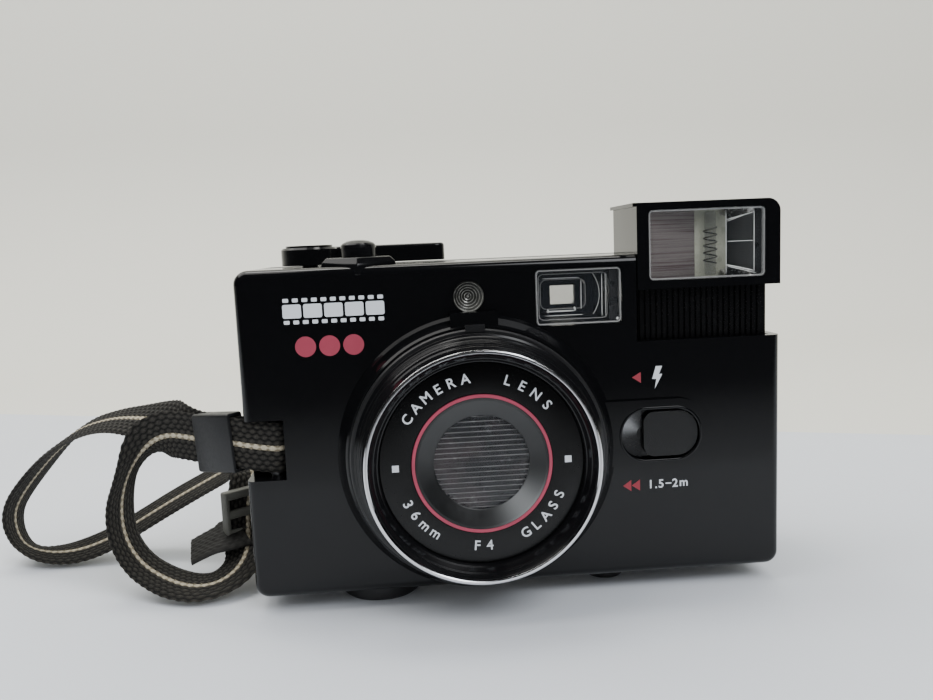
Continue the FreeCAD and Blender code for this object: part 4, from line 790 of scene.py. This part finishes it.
# lens
barrel = {
    # (radius, depth) of the turned outline, back flange to rim and back inside
    "outline": [(28.5, -5.5), (28.5, -6.5), (27.95, -6.85), (27.75, -8.3), (27.35, -8.6), (27.2, -10.0),
                (26.95, -10.25), (26.7, -12.2), (26.4, -12.45), (25.95, -14.7), (25.0, -14.7), (24.75, -15.15),
                (24.0, -13.7), (23.75, -13.6), (23.2, -12.0), (22.95, -11.9), (22.75, -10.9), (22.75, -9.62),
                (21.8, -9.62), (21.8, -9.0), (24.2, -9.0), (24.2, 6.0), (25.85, 6.0), (25.85, -5.5)],
    "rim": [(25.88, -14.72), (25.9, -15.2), (25.62, -15.42), (25.2, -15.42), (24.98, -15.2), (24.98, -14.72)],
    "face": [(22.6, -10.5), (22.6, -9.62), (15.72, -9.62), (15.72, -10.5)],
    "accent": [(15.6, -10.88), (15.6, -10.3), (14.85, -10.3), (14.85, -10.88)],
    "cone": [(14.8, -10.84), (14.84, -10.26), (15.6, -10.26), (15.6, -9.6), (21.6, -9.58), (21.6, -9.02),
             (10.66, -9.02), (10.66, -9.3), (10.9, -9.42), (14.2, -10.78)],
}

coverBlades = {
    "radius": 12.0,
    "front": -8.7,
    "thickness": 1.2,
    "pitch": 1.15,             # from rib to rib
    "relief": 0.3,
    "gap": 0.06,               # from the middle line to a blade
    "crest": 0.13,
    "columns": 21,
}

lensMarks = {
    # word, angle of its first and last letter, whether the letters' feet point to the middle
    "words": [("CAMERA", 146.0, 99.0, True), ("LENS", 71.0, 40.0, True), ("36mm", 206.0, 234.0, False),
              ("F4", 264.5, 273.0, False), ("GLASS", 299.5, 335.0, False)],
    "radius": 18.3,
    "outerRadius": 19.7,       # words whose feet point outwards
    "height": 2.3,
    "front": -10.51,
    "squares": [0.0, 180.0],
    "squareRadius": 19.14,
    "squareSide": 1.5,
}


def bladeSurface(name, way, body, material):
    # half a disc: width = 2 sqrt(R^2 - h^2) at height h, front depth = front + relief (1 - exp(-(d/crest)^2)),
    # where d is the distance to the nearest rib
    b = coverBlades
    h = np.concatenate([np.arange(b["gap"], b["radius"] - 0.1, b["pitch"] / 12), [b["radius"] - 0.05]])
    d = np.abs(h / b["pitch"] - np.round(h / b["pitch"])) * b["pitch"]
    front = b["front"] + b["relief"] * (1 - np.exp(-((d / b["crest"]) ** 2)))
    half = np.sqrt(b["radius"] ** 2 - h ** 2)[:, None]
    across = np.linspace(-1, 1, b["columns"])
    x = lensAxis[0] + half * np.concatenate([across, across[::-1]])[None]
    back = np.full((len(h), b["columns"]), b["front"] + b["thickness"])
    y = np.hstack([np.repeat(front[:, None], b["columns"], 1), back])
    z = np.repeat((lensAxis[1] + way * h)[:, None], 2 * b["columns"], 1)
    return gridSurface(name, fromCase(np.stack([x, y, z], -1)), body, material, "cover_smoke", closeColumns=True)


def letterMeshes(text, height, bold=0.012):
    # triangulated letters of the plain built-in face, standing on their baseline, in mm
    capHeight = 0.73           # of the built-in face at size 1
    made = []
    for letter in text:
        curve = bpy.data.curves.new("letter", "FONT")
        curve.body = letter
        curve.size = 1.0
        curve.extrude = 0.5
        curve.offset = bold
        curve.resolution_u = 4
        holder = bpy.data.objects.new("letter", curve)
        bpy.context.scene.collection.objects.link(holder)
        bpy.context.view_layer.update()
        mesh = bpy.data.meshes.new_from_object(holder)
        points = np.zeros(len(mesh.vertices) * 3)
        mesh.vertices.foreach_get("co", points)
        faces = [list(face.vertices) for face in mesh.polygons]
        bpy.data.objects.remove(holder)
        bpy.data.meshes.remove(mesh)
        made.append((points.reshape(-1, 3) * height / capHeight, faces))
    return made


def printedLetters(name, letters, places, front, material, slotName, onBaseline=False, depth=0.08):
    # places: (x, height, turn) of each letter in the front plane, taken at its middle or, with onBaseline,
    # at the middle of its foot; letters stand proud by half the depth
    points, faces, count = [], [], 0
    for (shape, corners), (x, z, turn) in zip(letters, places):
        local = shape - (shape.min(0) + shape.max(0)) / 2
        if onBaseline:
            local[:, 1] = shape[:, 1]
        u = local[:, 0] * math.cos(turn) - local[:, 1] * math.sin(turn)
        v = local[:, 0] * math.sin(turn) + local[:, 1] * math.cos(turn)
        points.append(np.stack([x + u, front - np.sign(local[:, 2]) * depth / 2, z + v], -1))
        faces += [[c + count for c in corner] for corner in corners]
        count += len(shape)
    return addMesh(name, fromCase(np.concatenate(points)), faces, "case", material, slotName, weld=1e-8)


def printedShapes(name, outlines, front, material, slotName, depth=0.08):
    # flat shapes with straight sides: each closed outline of (x, height) is carried through the depth
    points, faces, count = [], [], 0
    for outline in outlines:
        outline = np.asarray(outline, float)
        size = len(outline)
        for level in (front - depth / 2, front + depth / 2):
            points.append(np.stack([outline[:, 0], np.full(size, level), outline[:, 1]], -1))
        ring = np.arange(size)
        after = (ring + 1) % size
        faces += (np.stack([ring, after, after + size, ring + size], -1) + count).tolist()
        faces.append((ring + count).tolist())
        faces.append((ring[::-1] + size + count).tolist())
        count += 2 * size
    return addMesh(name, fromCase(np.concatenate(points)), faces, "case", material, slotName)


def discOutline(x, z, radius, steps=40):
    # circle of points (x + r cos a, z + r sin a)
    a = np.linspace(0, 2 * math.pi, steps, endpoint=False)
    return np.stack([x + radius * np.cos(a), z + radius * np.sin(a)], -1)


def makeLens(finish):
    # turned parts, two ribbed cover halves, and print placed at (r cos a, r sin a) round the lens axis
    turned = [
        # piece, outline, finish, slot, rounding, segments, node it stands for
        ("rim_turned", "rim", "chrome", "chrome_trim", 0.1, 220, "chrome_rim"),
        ("face_ring", "face", "face", "face_black", 0.1, 200, "face_plate"),
        ("accent_rose", "accent", "accent", "accent_pink", 0.12, 200, "accent_ring"),
        ("cone_turned", "cone", "cone", "satin_black", 0.08, 200, "lens_cone"),
    ]
    tube = turnedSurface("barrel_turned", barrel["outline"], "case", finish["barrel"], "barrel_black",
                         radii=0.13, segments=220, steps=3, sharp=28)
    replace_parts(tube, "lens_barrel")
    for name, outline, key, slotName, rounding, segments, node in turned:
        piece = turnedSurface(name, barrel[outline], "case", finish[key], slotName, radii=rounding,
                              segments=segments)
        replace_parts(piece, node)
    for name, way, body, node in (("blade_upper", 1, "cover_up", "lens_cover_upper"),
                                  ("blade_lower", -1, "cover_down", "lens_cover_lower")):
        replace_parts(bladeSurface(name, way, body, finish["smoke"]), node)
    m = lensMarks
    for k, (word, first, last, feetIn) in enumerate(m["words"]):
        angles = np.radians(np.linspace(first, last, len(word)))
        r, quarter = (m["radius"], -math.pi / 2) if feetIn else (m["outerRadius"], math.pi / 2)
        places = [(lensAxis[0] + r * math.cos(a), lensAxis[1] + r * math.sin(a), a + quarter) for a in angles]
        printedLetters("lens_word_" + str(k + 1), letterMeshes(word, m["height"]), places, m["front"],
                       finish["white"], "face_black", onBaseline=True)
    half = m["squareSide"] / 2
    squares = []
    for angle in m["squares"]:
        x = lensAxis[0] + m["squareRadius"] * math.cos(math.radians(angle))
        z = lensAxis[1] + m["squareRadius"] * math.sin(math.radians(angle))
        squares.append([(x - half, z - half), (x + half, z - half), (x + half, z + half), (x - half, z + half)])
    printedShapes("lens_squares", squares, m["front"], finish["white"], "face_black")
    print("lens made")


# printed marks on the front
frontMarks = {
    "front": -0.02,                          # depth of the print's middle
    "strip": (-52.5, -29.2, 64.1, 69.9),     # film strip sign, where a name would be
    "frames": 5,
    "frameInset": (0.25, 1.35, 0.45),        # from the sides, from top and bottom, corner radius
    "holes": 11,
    "holeInset": (0.42, 0.85, 0.2),          # from the sides, height, corner radius
    "dots": [(-47.6, 58.9, 2.35), (-42.2, 58.9, 2.35), (-36.8, 58.9, 2.35)],
    "arrow": [(27.2, 47.9), (29.3, 46.5), (29.3, 49.1)],
    "bolt": [(32.9, 50.3), (34.4, 50.3), (33.6, 48.4), (34.4, 48.4), (32.6, 45.0), (33.0, 47.3), (32.0, 47.3)],
    "near": [[(24.6, 21.95), (26.6, 20.6), (26.6, 23.3)], [(26.7, 21.95), (28.7, 20.6), (28.7, 23.3)]],
    # the distance, letter by letter, with a dash between its figures
    "distance": "1.52m",
    "distancePlaces": [(31.3, 22.0), (32.6, 21.15), (33.8, 22.0), (37.2, 22.0), (39.3, 21.78)],
    "distanceHeight": 2.05,
    "dash": [(34.9, 21.85), (36.3, 21.85), (36.3, 22.15), (34.9, 22.15)],
}


def makeMarks(finish):
    # film strip: a row of rounded frames, one pitch apart, between two rows of rounded holes
    m = frontMarks
    x0, x1, z0, z1 = m["strip"]
    outlines = []
    pitch = (x1 - x0) / m["frames"]
    side, end, radius = m["frameInset"]
    for k in range(m["frames"]):
        left = x0 + k * pitch
        outlines.append(roundedRing(left + side, left + pitch - side, z0 + end, z1 - end, radius, 4))
    pitch = (x1 - x0) / m["holes"]
    side, height, radius = m["holeInset"]
    for k in range(m["holes"]):
        left = x0 + k * pitch
        for low in (z0, z1 - height):
            outlines.append(roundedRing(left + side, left + pitch - side, low, low + height, radius, 3))
    for name, shapes, key in (("film_strip_sign", outlines, "white"),
                              ("rose_dots", [discOutline(*dot) for dot in m["dots"]], "pink"),
                              ("flash_arrow", [m["arrow"]] + m["near"], "red"),
                              ("flash_bolt", [m["bolt"]], "white")):
        printedShapes(name, shapes, m["front"], finish[key], "case_black")
    places = [(x, z, 0.0) for x, z in m["distancePlaces"]]
    letters = letterMeshes(m["distance"], m["distanceHeight"], 0.02)
    printedLetters("distance_figures", letters, places, m["front"], finish["white"], "case_black")
    printedShapes("distance_dash", [m["dash"]], m["front"], finish["white"], "case_black")
    print("marks made")


# flash, finder and meter
flashInside = {
    "left": 31.9, "right": 59.1, "low": 70.4, "high": 86.2,
    "tubeLeft": 44.2, "tubeRight": 50.7, "sideRight": 57.2,
    "near": 1.75, "deep": 9.0,
    "tubeDepth": 5.2,          # where the left reflector meets the back one
    "lean": 1.1,               # of the right facets at their near end
    "pinch": 2.6,              # and at their deep end
    "tube": (47.6, 4.1),       # middle of the tube (x, depth)
    "tubeOutline": [(0.0, 0.4), (1.15, 0.4), (1.3, 0.8)],     # (radius, distance from its end)
    "wire": {"radius": 1.5, "wire": 0.16, "low": 73.5, "high": 82.0, "turns": 5},
    "paneRim": (31.75, 59.25, 70.25, 86.35),
}


def panel(name, corners, material, thick=0.35, steps=14, ripple=0.0):
    # four-cornered sheet: point(s, t) blends the corners linearly; ripple waves it through its thickness
    a, b, c, d = np.asarray(corners, float)
    s = np.linspace(0, 1, steps)[:, None, None]
    t = np.linspace(0, 1, steps)[None, :, None]
    grid = (1 - s) * ((1 - t) * a + t * b) + s * ((1 - t) * d + t * c)
    normal = np.cross(b - a, d - a)
    normal = normal / np.linalg.norm(normal)
    wave = ripple * np.sin(s * 40.0) * np.sin(t * 3.0)
    front = grid + normal * wave
    back = grid - normal * thick
    ringed = np.concatenate([front, back[:, ::-1]], 1)
    return gridSurface(name, fromCase(ringed), "flash", material, "reflector_bright", closeColumns=True,
                       sharp=30)


def bead(name, start, end, radius, body, material, slotName):
    # thin round bar between two points, narrowed at its tips: radius = r (1 - 0.85 t^8)
    start, end = np.asarray(start, float), np.asarray(end, float)
    t = np.linspace(-1, 1, 17)
    ahead = unit(end - start)
    side = unit(np.cross(ahead, (0.3, 1.0, 0.2)))
    other = np.cross(ahead, side)
    a = np.linspace(0, 2 * math.pi, 10, endpoint=False)
    size = radius * (1 - 0.85 * t ** 8)
    middle = start + (end - start) * ((t + 1) / 2)[:, None]
    around = np.cos(a)[:, None] * side + np.sin(a)[:, None] * other
    grid = middle[:, None] + size[:, None, None] * around[None]
    return gridSurface(name, fromCase(grid), body, material, slotName, closeColumns=True)


def makeGlints(prefix, glints, body, material, slotName):
    # numbered painted highlights along edges, each a bright bead from start to end
    for k, (start, end, thick) in enumerate(glints):
        bead(prefix + str(k + 1), start, end, thick, body, material, slotName)


def coiledWire(name, middle, body, material, slotName, radius, wire, low, high, turns):
    # helix: (R cos a, R sin a) round the tube while the height climbs, carried by a small circle
    a = np.linspace(0, 2 * math.pi * turns, int(turns * 28))
    z = np.linspace(low, high, len(a))
    centre = np.stack([middle[0] + radius * np.cos(a), middle[1] + radius * np.sin(a), z], -1)
    out = np.stack([np.cos(a), np.sin(a), 0 * a], -1)
    up = np.tile([0.0, 0.0, 1.0], (len(a), 1))
    b = np.linspace(0, 2 * math.pi, 8, endpoint=False)
    around = np.cos(b)[None, :, None] * out[:, None] + np.sin(b)[None, :, None] * up[:, None]
    grid = centre[:, None] + wire * around
    return gridSurface(name, fromCase(grid), body, material, slotName, closeColumns=True)


def frameRing(name, extent, radius, width, low, high, body, material, slotName):
    # rectangular frame with round corners: outer and inner outlines at two depths joined in a loop
    soft = 0.12
    layers = ((0, low), (soft, low - soft), (width - soft, low - soft), (width, low), (width, high), (0, high))
    grid = fromCase(frontOutlines(extent, radius, layers))
    return gridSurface(name, grid, body, material, slotName, closeRows=True, closeColumns=True, caps=False)


def makeFlash(finish):
    # reflector of flat panels round an upright tube, which carries the trigger wire
    f = flashInside
    low, high, near, deep, back = f["low"], f["high"], f["near"], f["deep"], f["tubeDepth"]
    left, right, side = f["left"], f["right"], f["sideRight"]
    tubeLeft, tubeRight, lean, pinch = f["tubeLeft"], f["tubeRight"], f["lean"], f["pinch"]
    corners = [(left, near, low), (tubeLeft, back, low), (tubeLeft, back, high), (left, near, high)]
    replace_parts(panel("reflector_left", corners, finish["reflector"], ripple=0.04), "flash_reflector")
    corners = [(tubeLeft, back, low), (tubeRight + 1.4, back + 0.8, low),
               (tubeRight + 1.4, back + 0.8, high), (tubeLeft, back, high)]
    panel("reflector_back", corners, finish["tube"], ripple=0.05)
    facets = [
        ("reflector_right", "facetDark", [(tubeRight, deep, low + pinch), (side, near, low + lean),
                                          (side, near, high - lean), (tubeRight, deep, high - pinch)]),
        ("reflector_top", "facet", [(tubeRight, deep, high - pinch), (side, near, high - lean),
                                    (side, near, high), (tubeRight, near, high)]),
        ("reflector_low", "facet", [(tubeRight, near, low), (side, near, low),
                                    (side, near, low + lean), (tubeRight, deep, low + pinch)]),
        ("reflector_end", "shade", [(side, near + 0.5, low), (right, near + 0.2, low),
                                    (right, near + 0.2, high), (side, near + 0.5, high)]),
    ]
    for name, key, corners in facets:
        panel(name, corners, finish[key])
    middleZ = (low + high) / 2 + 0.2
    # painted highlights along edges seen in the pane: start, end, thickness
    glints = [
        ((tubeRight, 2.2, high - 2.7), (side, 1.7, high - lean), 0.13),
        ((tubeRight, 2.2, low + 2.7), (side, 1.7, low + lean), 0.16),
        ((tubeRight, 2.2, middleZ), (side, 1.7, middleZ), 0.08),
        ((side, 1.7, low + 0.3), (side, 1.7, high - 0.3), 0.11),
        ((tubeRight, 2.2, low + 0.3), (tubeRight, 2.2, high - 0.3), 0.09),
        ((tubeRight, 2.0, low + 2.4), (side + 0.6, 1.7, low + 0.5), 0.1),
        ((tubeRight, 2.0, high - 3.1), (side - 2.2, 1.7, high - lean - 0.6), 0.07),
    ]
    makeGlints("flash_glint_", glints, "flash", finish["spark"], "reflector_bright")
    outline = [(r, low + end) for r, end in f["tubeOutline"]]
    outline += [(r, high - end) for r, end in f["tubeOutline"][::-1]]
    tube = turnedSurface("tube_glass", outline, "flash", finish["lens"], "optical_glass", centre=f["tube"],
                         upright=True, segments=96, radii=0.1, loop=False)
    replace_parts(tube, "flash_tube")
    coiledWire("trigger_wire", f["tube"], "flash", finish["wire"], "reflector_bright", **f["wire"])
    # the thin rim round the pane, pale: a painted highlight along the pane's edge
    frameRing("flash_pane_rim", f["paneRim"], 1.1, 0.42, 0.35, 1.3, "flash", finish["paneEdgeHighlight"],
              "clear_plastic")
    print("flash made")


finder = {
    "front": (5.25, 25.05, 61.05, 73.75),
    "bright": 22.4,                      # right edge of the clear part
    "lensEdge": (9.9, 8.2, 0.62),        # middle of its arc left of that edge, radius, half angle
    "sight": (13.6, 20.2, 63.6, 68.6),   # mask that frames the eyepiece
    "around": (4.9, 25.3, 60.8, 73.0),   # outside of the mask's four cards
    "sightDepth": 30.0,
}


def makeFinder(finish):
    u0, u1, v0, v1 = finder["front"]
    bright, depth = finder["bright"], finder["sightDepth"]
    # pale rims round the window and its inner steps: painted highlights along their edges
    frames = [
        # piece, extent, corner radius, width, near and far depth
        ("finder_pane_rim", finder["front"], 1.0, 0.35, 0.3, 1.1),
        ("finder_bezel", (u0 + 0.9, bright, v0 + 0.9, v1 - 1.0), 1.2, 0.18, 2.6, 3.4),
        ("finder_step", (u0 + 1.7, bright - 4.6, v0 + 3.2, v1 - 2.4), 1.6, 0.16, 5.0, 6.4),
    ]
    for frameSizes in frames:
        frameRing(*frameSizes, "case", finish["paneEdgeHighlight"], "clear_plastic")
    # painted highlight along the edge of the front lens: a bright arc carried by a small ellipse
    offset, radius, half = finder["lensEdge"]
    a = np.linspace(-half, half, 40)[:, None]
    b = np.linspace(0, 2 * math.pi, 10, endpoint=False)[None]
    x = bright - offset + radius * np.cos(a) + 0.09 * np.cos(b)
    z = (v0 + v1) / 2 + 0.3 + radius * np.sin(a) + 0 * b
    grid = np.stack([x, 3.6 + 0.3 * np.sin(b) + 0 * a, z], -1)
    gridSurface("finder_lens_edge", fromCase(grid), "case", finish["spark"], "clear_plastic", closeColumns=True)
    layeredBlock("finder_side_strip", (bright + 0.15, u1 - 0.35, v0 + 0.4, v1 - 0.4), 0.3,
                 edgedLayers(1.5, 2.1, 0.1, 1), "case", finish["shade"], "clear_plastic", steps=2)
    # painted highlights along edges seen in the pane, and two bright spots: start, end, thickness
    glints = [
        ((u0 + 2.6, 3.2, v0 + 2.9), (bright - 7.6, 3.2, v0 + 2.9), 0.17),
        ((u0 + 2.9, 3.0, v0 + 3.0), (u0 + 3.3, 3.0, v0 + 3.0), 0.42),
        ((bright - 7.9, 3.0, v0 + 3.3), (bright - 7.5, 3.0, v0 + 3.4), 0.46),
        ((u0 + 2.4, 3.2, v0 + 1.9), (bright - 5.6, 3.2, v0 + 1.9), 0.09),
        ((bright - 1.3, 2.8, v0 + 1.2), (bright - 1.2, 2.8, v1 - 1.4), 0.10),
        ((bright - 0.4, 2.8, v0 + 1.0), (bright - 0.4, 2.8, v1 - 1.2), 0.08),
        ((bright - 6.2, 2.9, v0 + 3.2), (bright - 6.1, 2.9, v1 - 2.6), 0.09),
        ((u1 - 0.9, 1.2, v0 + 0.5), (u1 - 0.5, 1.2, v0 + 1.1), 0.3),
        ((u0 + 1.9, 3.2, v1 - 2.1), (bright - 6.4, 3.2, v1 - 2.1), 0.07),
    ]
    makeGlints("finder_glint_", glints, "case", finish["spark"], "clear_plastic")
    frameRing("eyepiece_mask", (4.6, 25.6, 60.5, 73.3), 0.6, 0.5, depth, depth + 1, "case", finish["well"],
              "control_black")
    s0, s1, t0, t1 = finder["sight"]
    x0, x1, z0, z1 = finder["around"]
    cards = [(x0, s0, z0, z1), (s1, x1, z0, z1), (s0 - 0.1, s1 + 0.1, z0, t0), (s0 - 0.1, s1 + 0.1, t1, z1)]
    for k, card in enumerate(cards):
        layeredBlock("eyepiece_mask_" + str(k + 1), card, 0.05, edgedLayers(depth, depth + 0.8, 0.05, 1),
                     "case", finish["well"], "control_black", steps=1)
    print("finder made")


meter = {
    "x": -10.3, "z": 68.5,     # middle of the dish
    "outer": 3.55, "inner": 1.45,
    "slope": 0.95,
    "step": 0.52,              # from one turned step to the next
    "relief": 0.10,
    "cell": [(1.2, 2.3), (0.9, 2.05), (0.6, 2.2), (0.3, 2.0), (0.0, 2.02)],     # outline of the domed cell
    "back": 3.2,
}


def makeMeter(finish):
    # dished ring round a small domed cell: depth = 0.05 + slope (outer - r) + relief cos(2 pi r / step)
    m = meter
    r = np.linspace(m["outer"], m["inner"], 43)
    depth = 0.05 + (m["outer"] - r) * m["slope"] + m["relief"] * np.cos(2 * math.pi * r / m["step"])
    outline = np.stack([r, depth], -1).tolist() + m["cell"] + [(0.0, m["back"]), (m["outer"], m["back"])]
    ring = turnedSurface("meter_dish", outline, "case", finish["meter"], "chrome_trim", centre=(m["x"], m["z"]),
                         segments=96, sharp=50)
    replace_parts(ring, "light_meter")
    print("meter made")


# strap fittings
slider = {
    "corner": (-67.0, -8.9, 47.9),
    "yaw": 36.0,
    "tilt": 5.0,
    "length": 12.4,
    "height": 14.0,
    "thickness": 4.6,
    "wall": 0.75,
}
buckle = {
    "middle": (-70.0, 19.4, 16.2),
    "yaw": 40.0,
    "length": 13.4,
    "height": 12.5,
    "thickness": 2.6,
    "bar": 2.3,                # height of a bar
    "rail": 1.5,               # width of the rails at both ends
}
tail = {
    "points": [(-71.2, 17.4, 11.4), (-75.0, 14.6, 11.0), (-79.0, 13.9, 9.8), (-83.6, 13.4, 7.6)],
    "side": (0.15, 0.91, 0.38),
}


def turnedAbout(points, angle, spot):
    # points turned by the angle about the upright axis, then moved to the spot: mm in, metres out
    x, y, z = points[..., 0], points[..., 1], points[..., 2]
    return np.stack([spot[0] + x * math.cos(angle) - y * math.sin(angle),
                     spot[1] + x * math.sin(angle) + y * math.cos(angle), spot[2] + z], -1) * mm


def makeSlider(finish):
    # rectangular tube: outer and inner outlines carried along the strap, with rolled ends
    s = slider
    rows = []
    length, wall = s["length"], s["wall"]
    for inset, along in ((0.35, 0.0), (0.1, 0.1), (0.0, 0.4), (0.0, length - 0.4), (0.1, length - 0.1),
                         (0.35, length), (wall, length), (wall, 0.0)):
        ring = roundedRing(-s["thickness"] + inset, -inset, -s["height"] + inset, -inset, 0.7 - inset * 0.6, 4)
        rows.append(np.stack([np.full(len(ring), along), ring[:, 0], ring[:, 1]], -1))
    points = np.array(rows)
    # tilted about its own width, then turned to face along the strap
    tilt = math.radians(s["tilt"])
    x = points[..., 0] * math.cos(tilt) + points[..., 2] * math.sin(tilt)
    z = -points[..., 0] * math.sin(tilt) + points[..., 2] * math.cos(tilt)
    placed = turnedAbout(np.stack([x, points[..., 1], z], -1), math.radians(180 - s["yaw"]), s["corner"])
    piece = gridSurface("slider_tube", placed, "case", finish["charcoal"], "slider_charcoal", closeRows=True,
                        closeColumns=True, caps=False, sharp=40)
    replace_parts(piece, "strap_slider")
    return piece


def makeBuckle(finish):
    # two rails and three bars, each a rounded bar with a rounded outline
    b = buckle
    half, tall, thick = b["length"] / 2, b["height"] / 2, b["thickness"] / 2
    bars = [(-half, -half + b["rail"], -tall, tall), (half - b["rail"], half, -tall, tall)]
    for level in (-tall, -b["bar"] / 2, tall - b["bar"]):
        bars.append((-half + 0.3, half - 0.3, level, level + b["bar"]))
    points, faces, count = [], [], 0
    for u0, u1, v0, v1 in bars:
        rows = []
        for inset, level in edgedLayers(-thick, thick, 0.5):
            ring = roundedRing(u0 + inset, u1 - inset, v0 + inset, v1 - inset, 0.55, 3)
            rows.append(np.stack([ring[:, 0], np.full(len(ring), level), ring[:, 1]], -1))
        size, total = len(ring), len(ring) * len(rows)
        faces += (gridFaces(len(rows), size, closeColumns=True) + count).tolist()
        faces.append(list(range(count, count + size)))
        faces.append(list(range(count + total - size, count + total)))
        points += rows
        count += total
    placed = turnedAbout(np.concatenate(points), math.radians(b["yaw"]), b["middle"])
    piece = addMesh("buckle_bars", placed, faces, "case", finish["buckle"], "buckle_grey")
    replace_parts(piece, "strap_adjuster")
    return piece


def makeTail(finish):
    # free end of the webbing: the same woven ribbon along its own short line, with one width direction
    points = np.array(tail["points"])
    side = unit(np.array(tail["side"]))
    line = smoothLine(points, 8)
    sides = np.repeat(side[None], len(line), 0)
    piece = webbingSurface("tail_webbing", line, sides, finish["tail"], "case")
    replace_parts(piece, "strap_tail")
    return piece


# release button and its pedestal
pedestal = {
    "x": -35.0,
    # outline at the foot and at the top, from the left tip round the back; heights in the case
    "foot": [(-8.8, 5.4, 76.2), (-6.2, 12.4, 76.2), (6.2, 12.4, 76.2), (8.8, 5.4, 76.2), (0.0, -0.45, 74.3)],
    "waist": [(-8.5, 5.4, 77.4), (-6.0, 12.2, 77.4), (6.0, 12.2, 77.4), (8.5, 5.4, 77.4), (0.0, -0.25, 76.8)],
    "top": [(-7.4, 5.7, 78.5), (-5.4, 11.6, 78.5), (5.4, 11.6, 78.5), (7.4, 5.7, 78.5), (0.0, 1.1, 78.5)],
    "bevel": 0.3,
    "cap": [(4.1, 78.3), (4.15, 80.6), (4.0, 81.3), (3.6, 81.7), (2.6, 82.15), (1.3, 82.38), (0.0, 82.45),
            (0.0, 78.3)],
    "capDepth": 8.0,
}


def makePedestal(finish):
    # three rings of the same outline joined into facets, with bevelled edges
    p = pedestal
    rings = [np.array(p[key]) + np.array([p["x"], 0.0, 0.0]) for key in ("foot", "waist", "top")]
    size = len(rings[0])
    faces = gridFaces(len(rings), size, closeColumns=True).tolist()
    faces += [list(range(size)), list(range(3 * size - 1, 2 * size - 1, -1))]
    piece = addMesh("pedestal_facets", fromCase(np.concatenate(rings)), faces, "case", finish["barrel"],
                    "control_black", sharp=28)
    bevel = piece.modifiers.new("edges", "BEVEL")
    bevel.width = p["bevel"] * mm
    bevel.segments = 3
    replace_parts(piece, "shutter_pedestal")
    cap = turnedSurface("button_cap", p["cap"], "release", finish["barrel"], "button_black",
                        centre=(p["x"], p["capDepth"]), upright=True, segments=96, radii=0.12, loop=False)
    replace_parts(cap, "shutter_button")
    print("pedestal made")


# flash switch surround
scoop = {
    "x": 29.9, "z": 34.3,      # middle of the hollow left of the switch, under its travel
    "outer": 5.7, "inner": 1.6,
    "front": 0.43, "deep": 0.66,
    "sweep": (96, 264),        # degrees
    "ridge": (24.0, 43.1, 28.0, 40.6),     # middle line of the raised lip round the slot
    "ridgeRadius": 6.1,
    "ridgeDepth": -1.3,
    "lipWidth": 0.32,
    "lipHeight": 0.14,
}


def makeScoop(finish):
    # shallow half cone left of the switch: radius and depth run together from the slot's wall to its middle
    s = scoop
    angle = np.radians(np.linspace(*s["sweep"], 64))[:, None]
    t = np.linspace(0, 1, 12)[None]
    radius = s["outer"] + (s["inner"] - s["outer"]) * t
    depth = s["front"] + (s["deep"] - s["front"]) * t ** 0.9
    front = np.stack([s["x"] + radius * np.cos(angle), depth + 0 * angle, s["z"] + radius * np.sin(angle)], -1)
    back = front + np.array([0.0, 0.03, 0.0])
    gridSurface("switch_scoop", fromCase(np.concatenate([front, back[:, ::-1]], 1)), "case", finish["scoop"],
                "case_black", closeColumns=True)
    # raised lip round the slot: outlines in at width cos(a), out at height sin(a)
    layers = [(s["lipWidth"] * math.cos(a), s["ridgeDepth"] - s["lipHeight"] * math.sin(a))
              for a in np.linspace(0, math.pi, 7)]
    rows = frontOutlines(s["ridge"], s["ridgeRadius"], layers, 12)
    rows = np.concatenate([rows, rows[[-1, 0]] + np.array([0.0, 0.3, 0.0])])
    gridSurface("switch_lip", fromCase(rows), "case", finish["case"], "case_black", closeRows=True,
                closeColumns=True, caps=False)
    print("switch surround made")


finish = makeFinishes()
dressNodes(finish)
makeLens(finish)
makeMarks(finish)
makeFlash(finish)
makeFinder(finish)
makeMeter(finish)
makeScoop(finish)
makePedestal(finish)
strapFittings = [makeSlider(finish), makeBuckle(finish), makeTail(finish)]
print("strap fittings made")
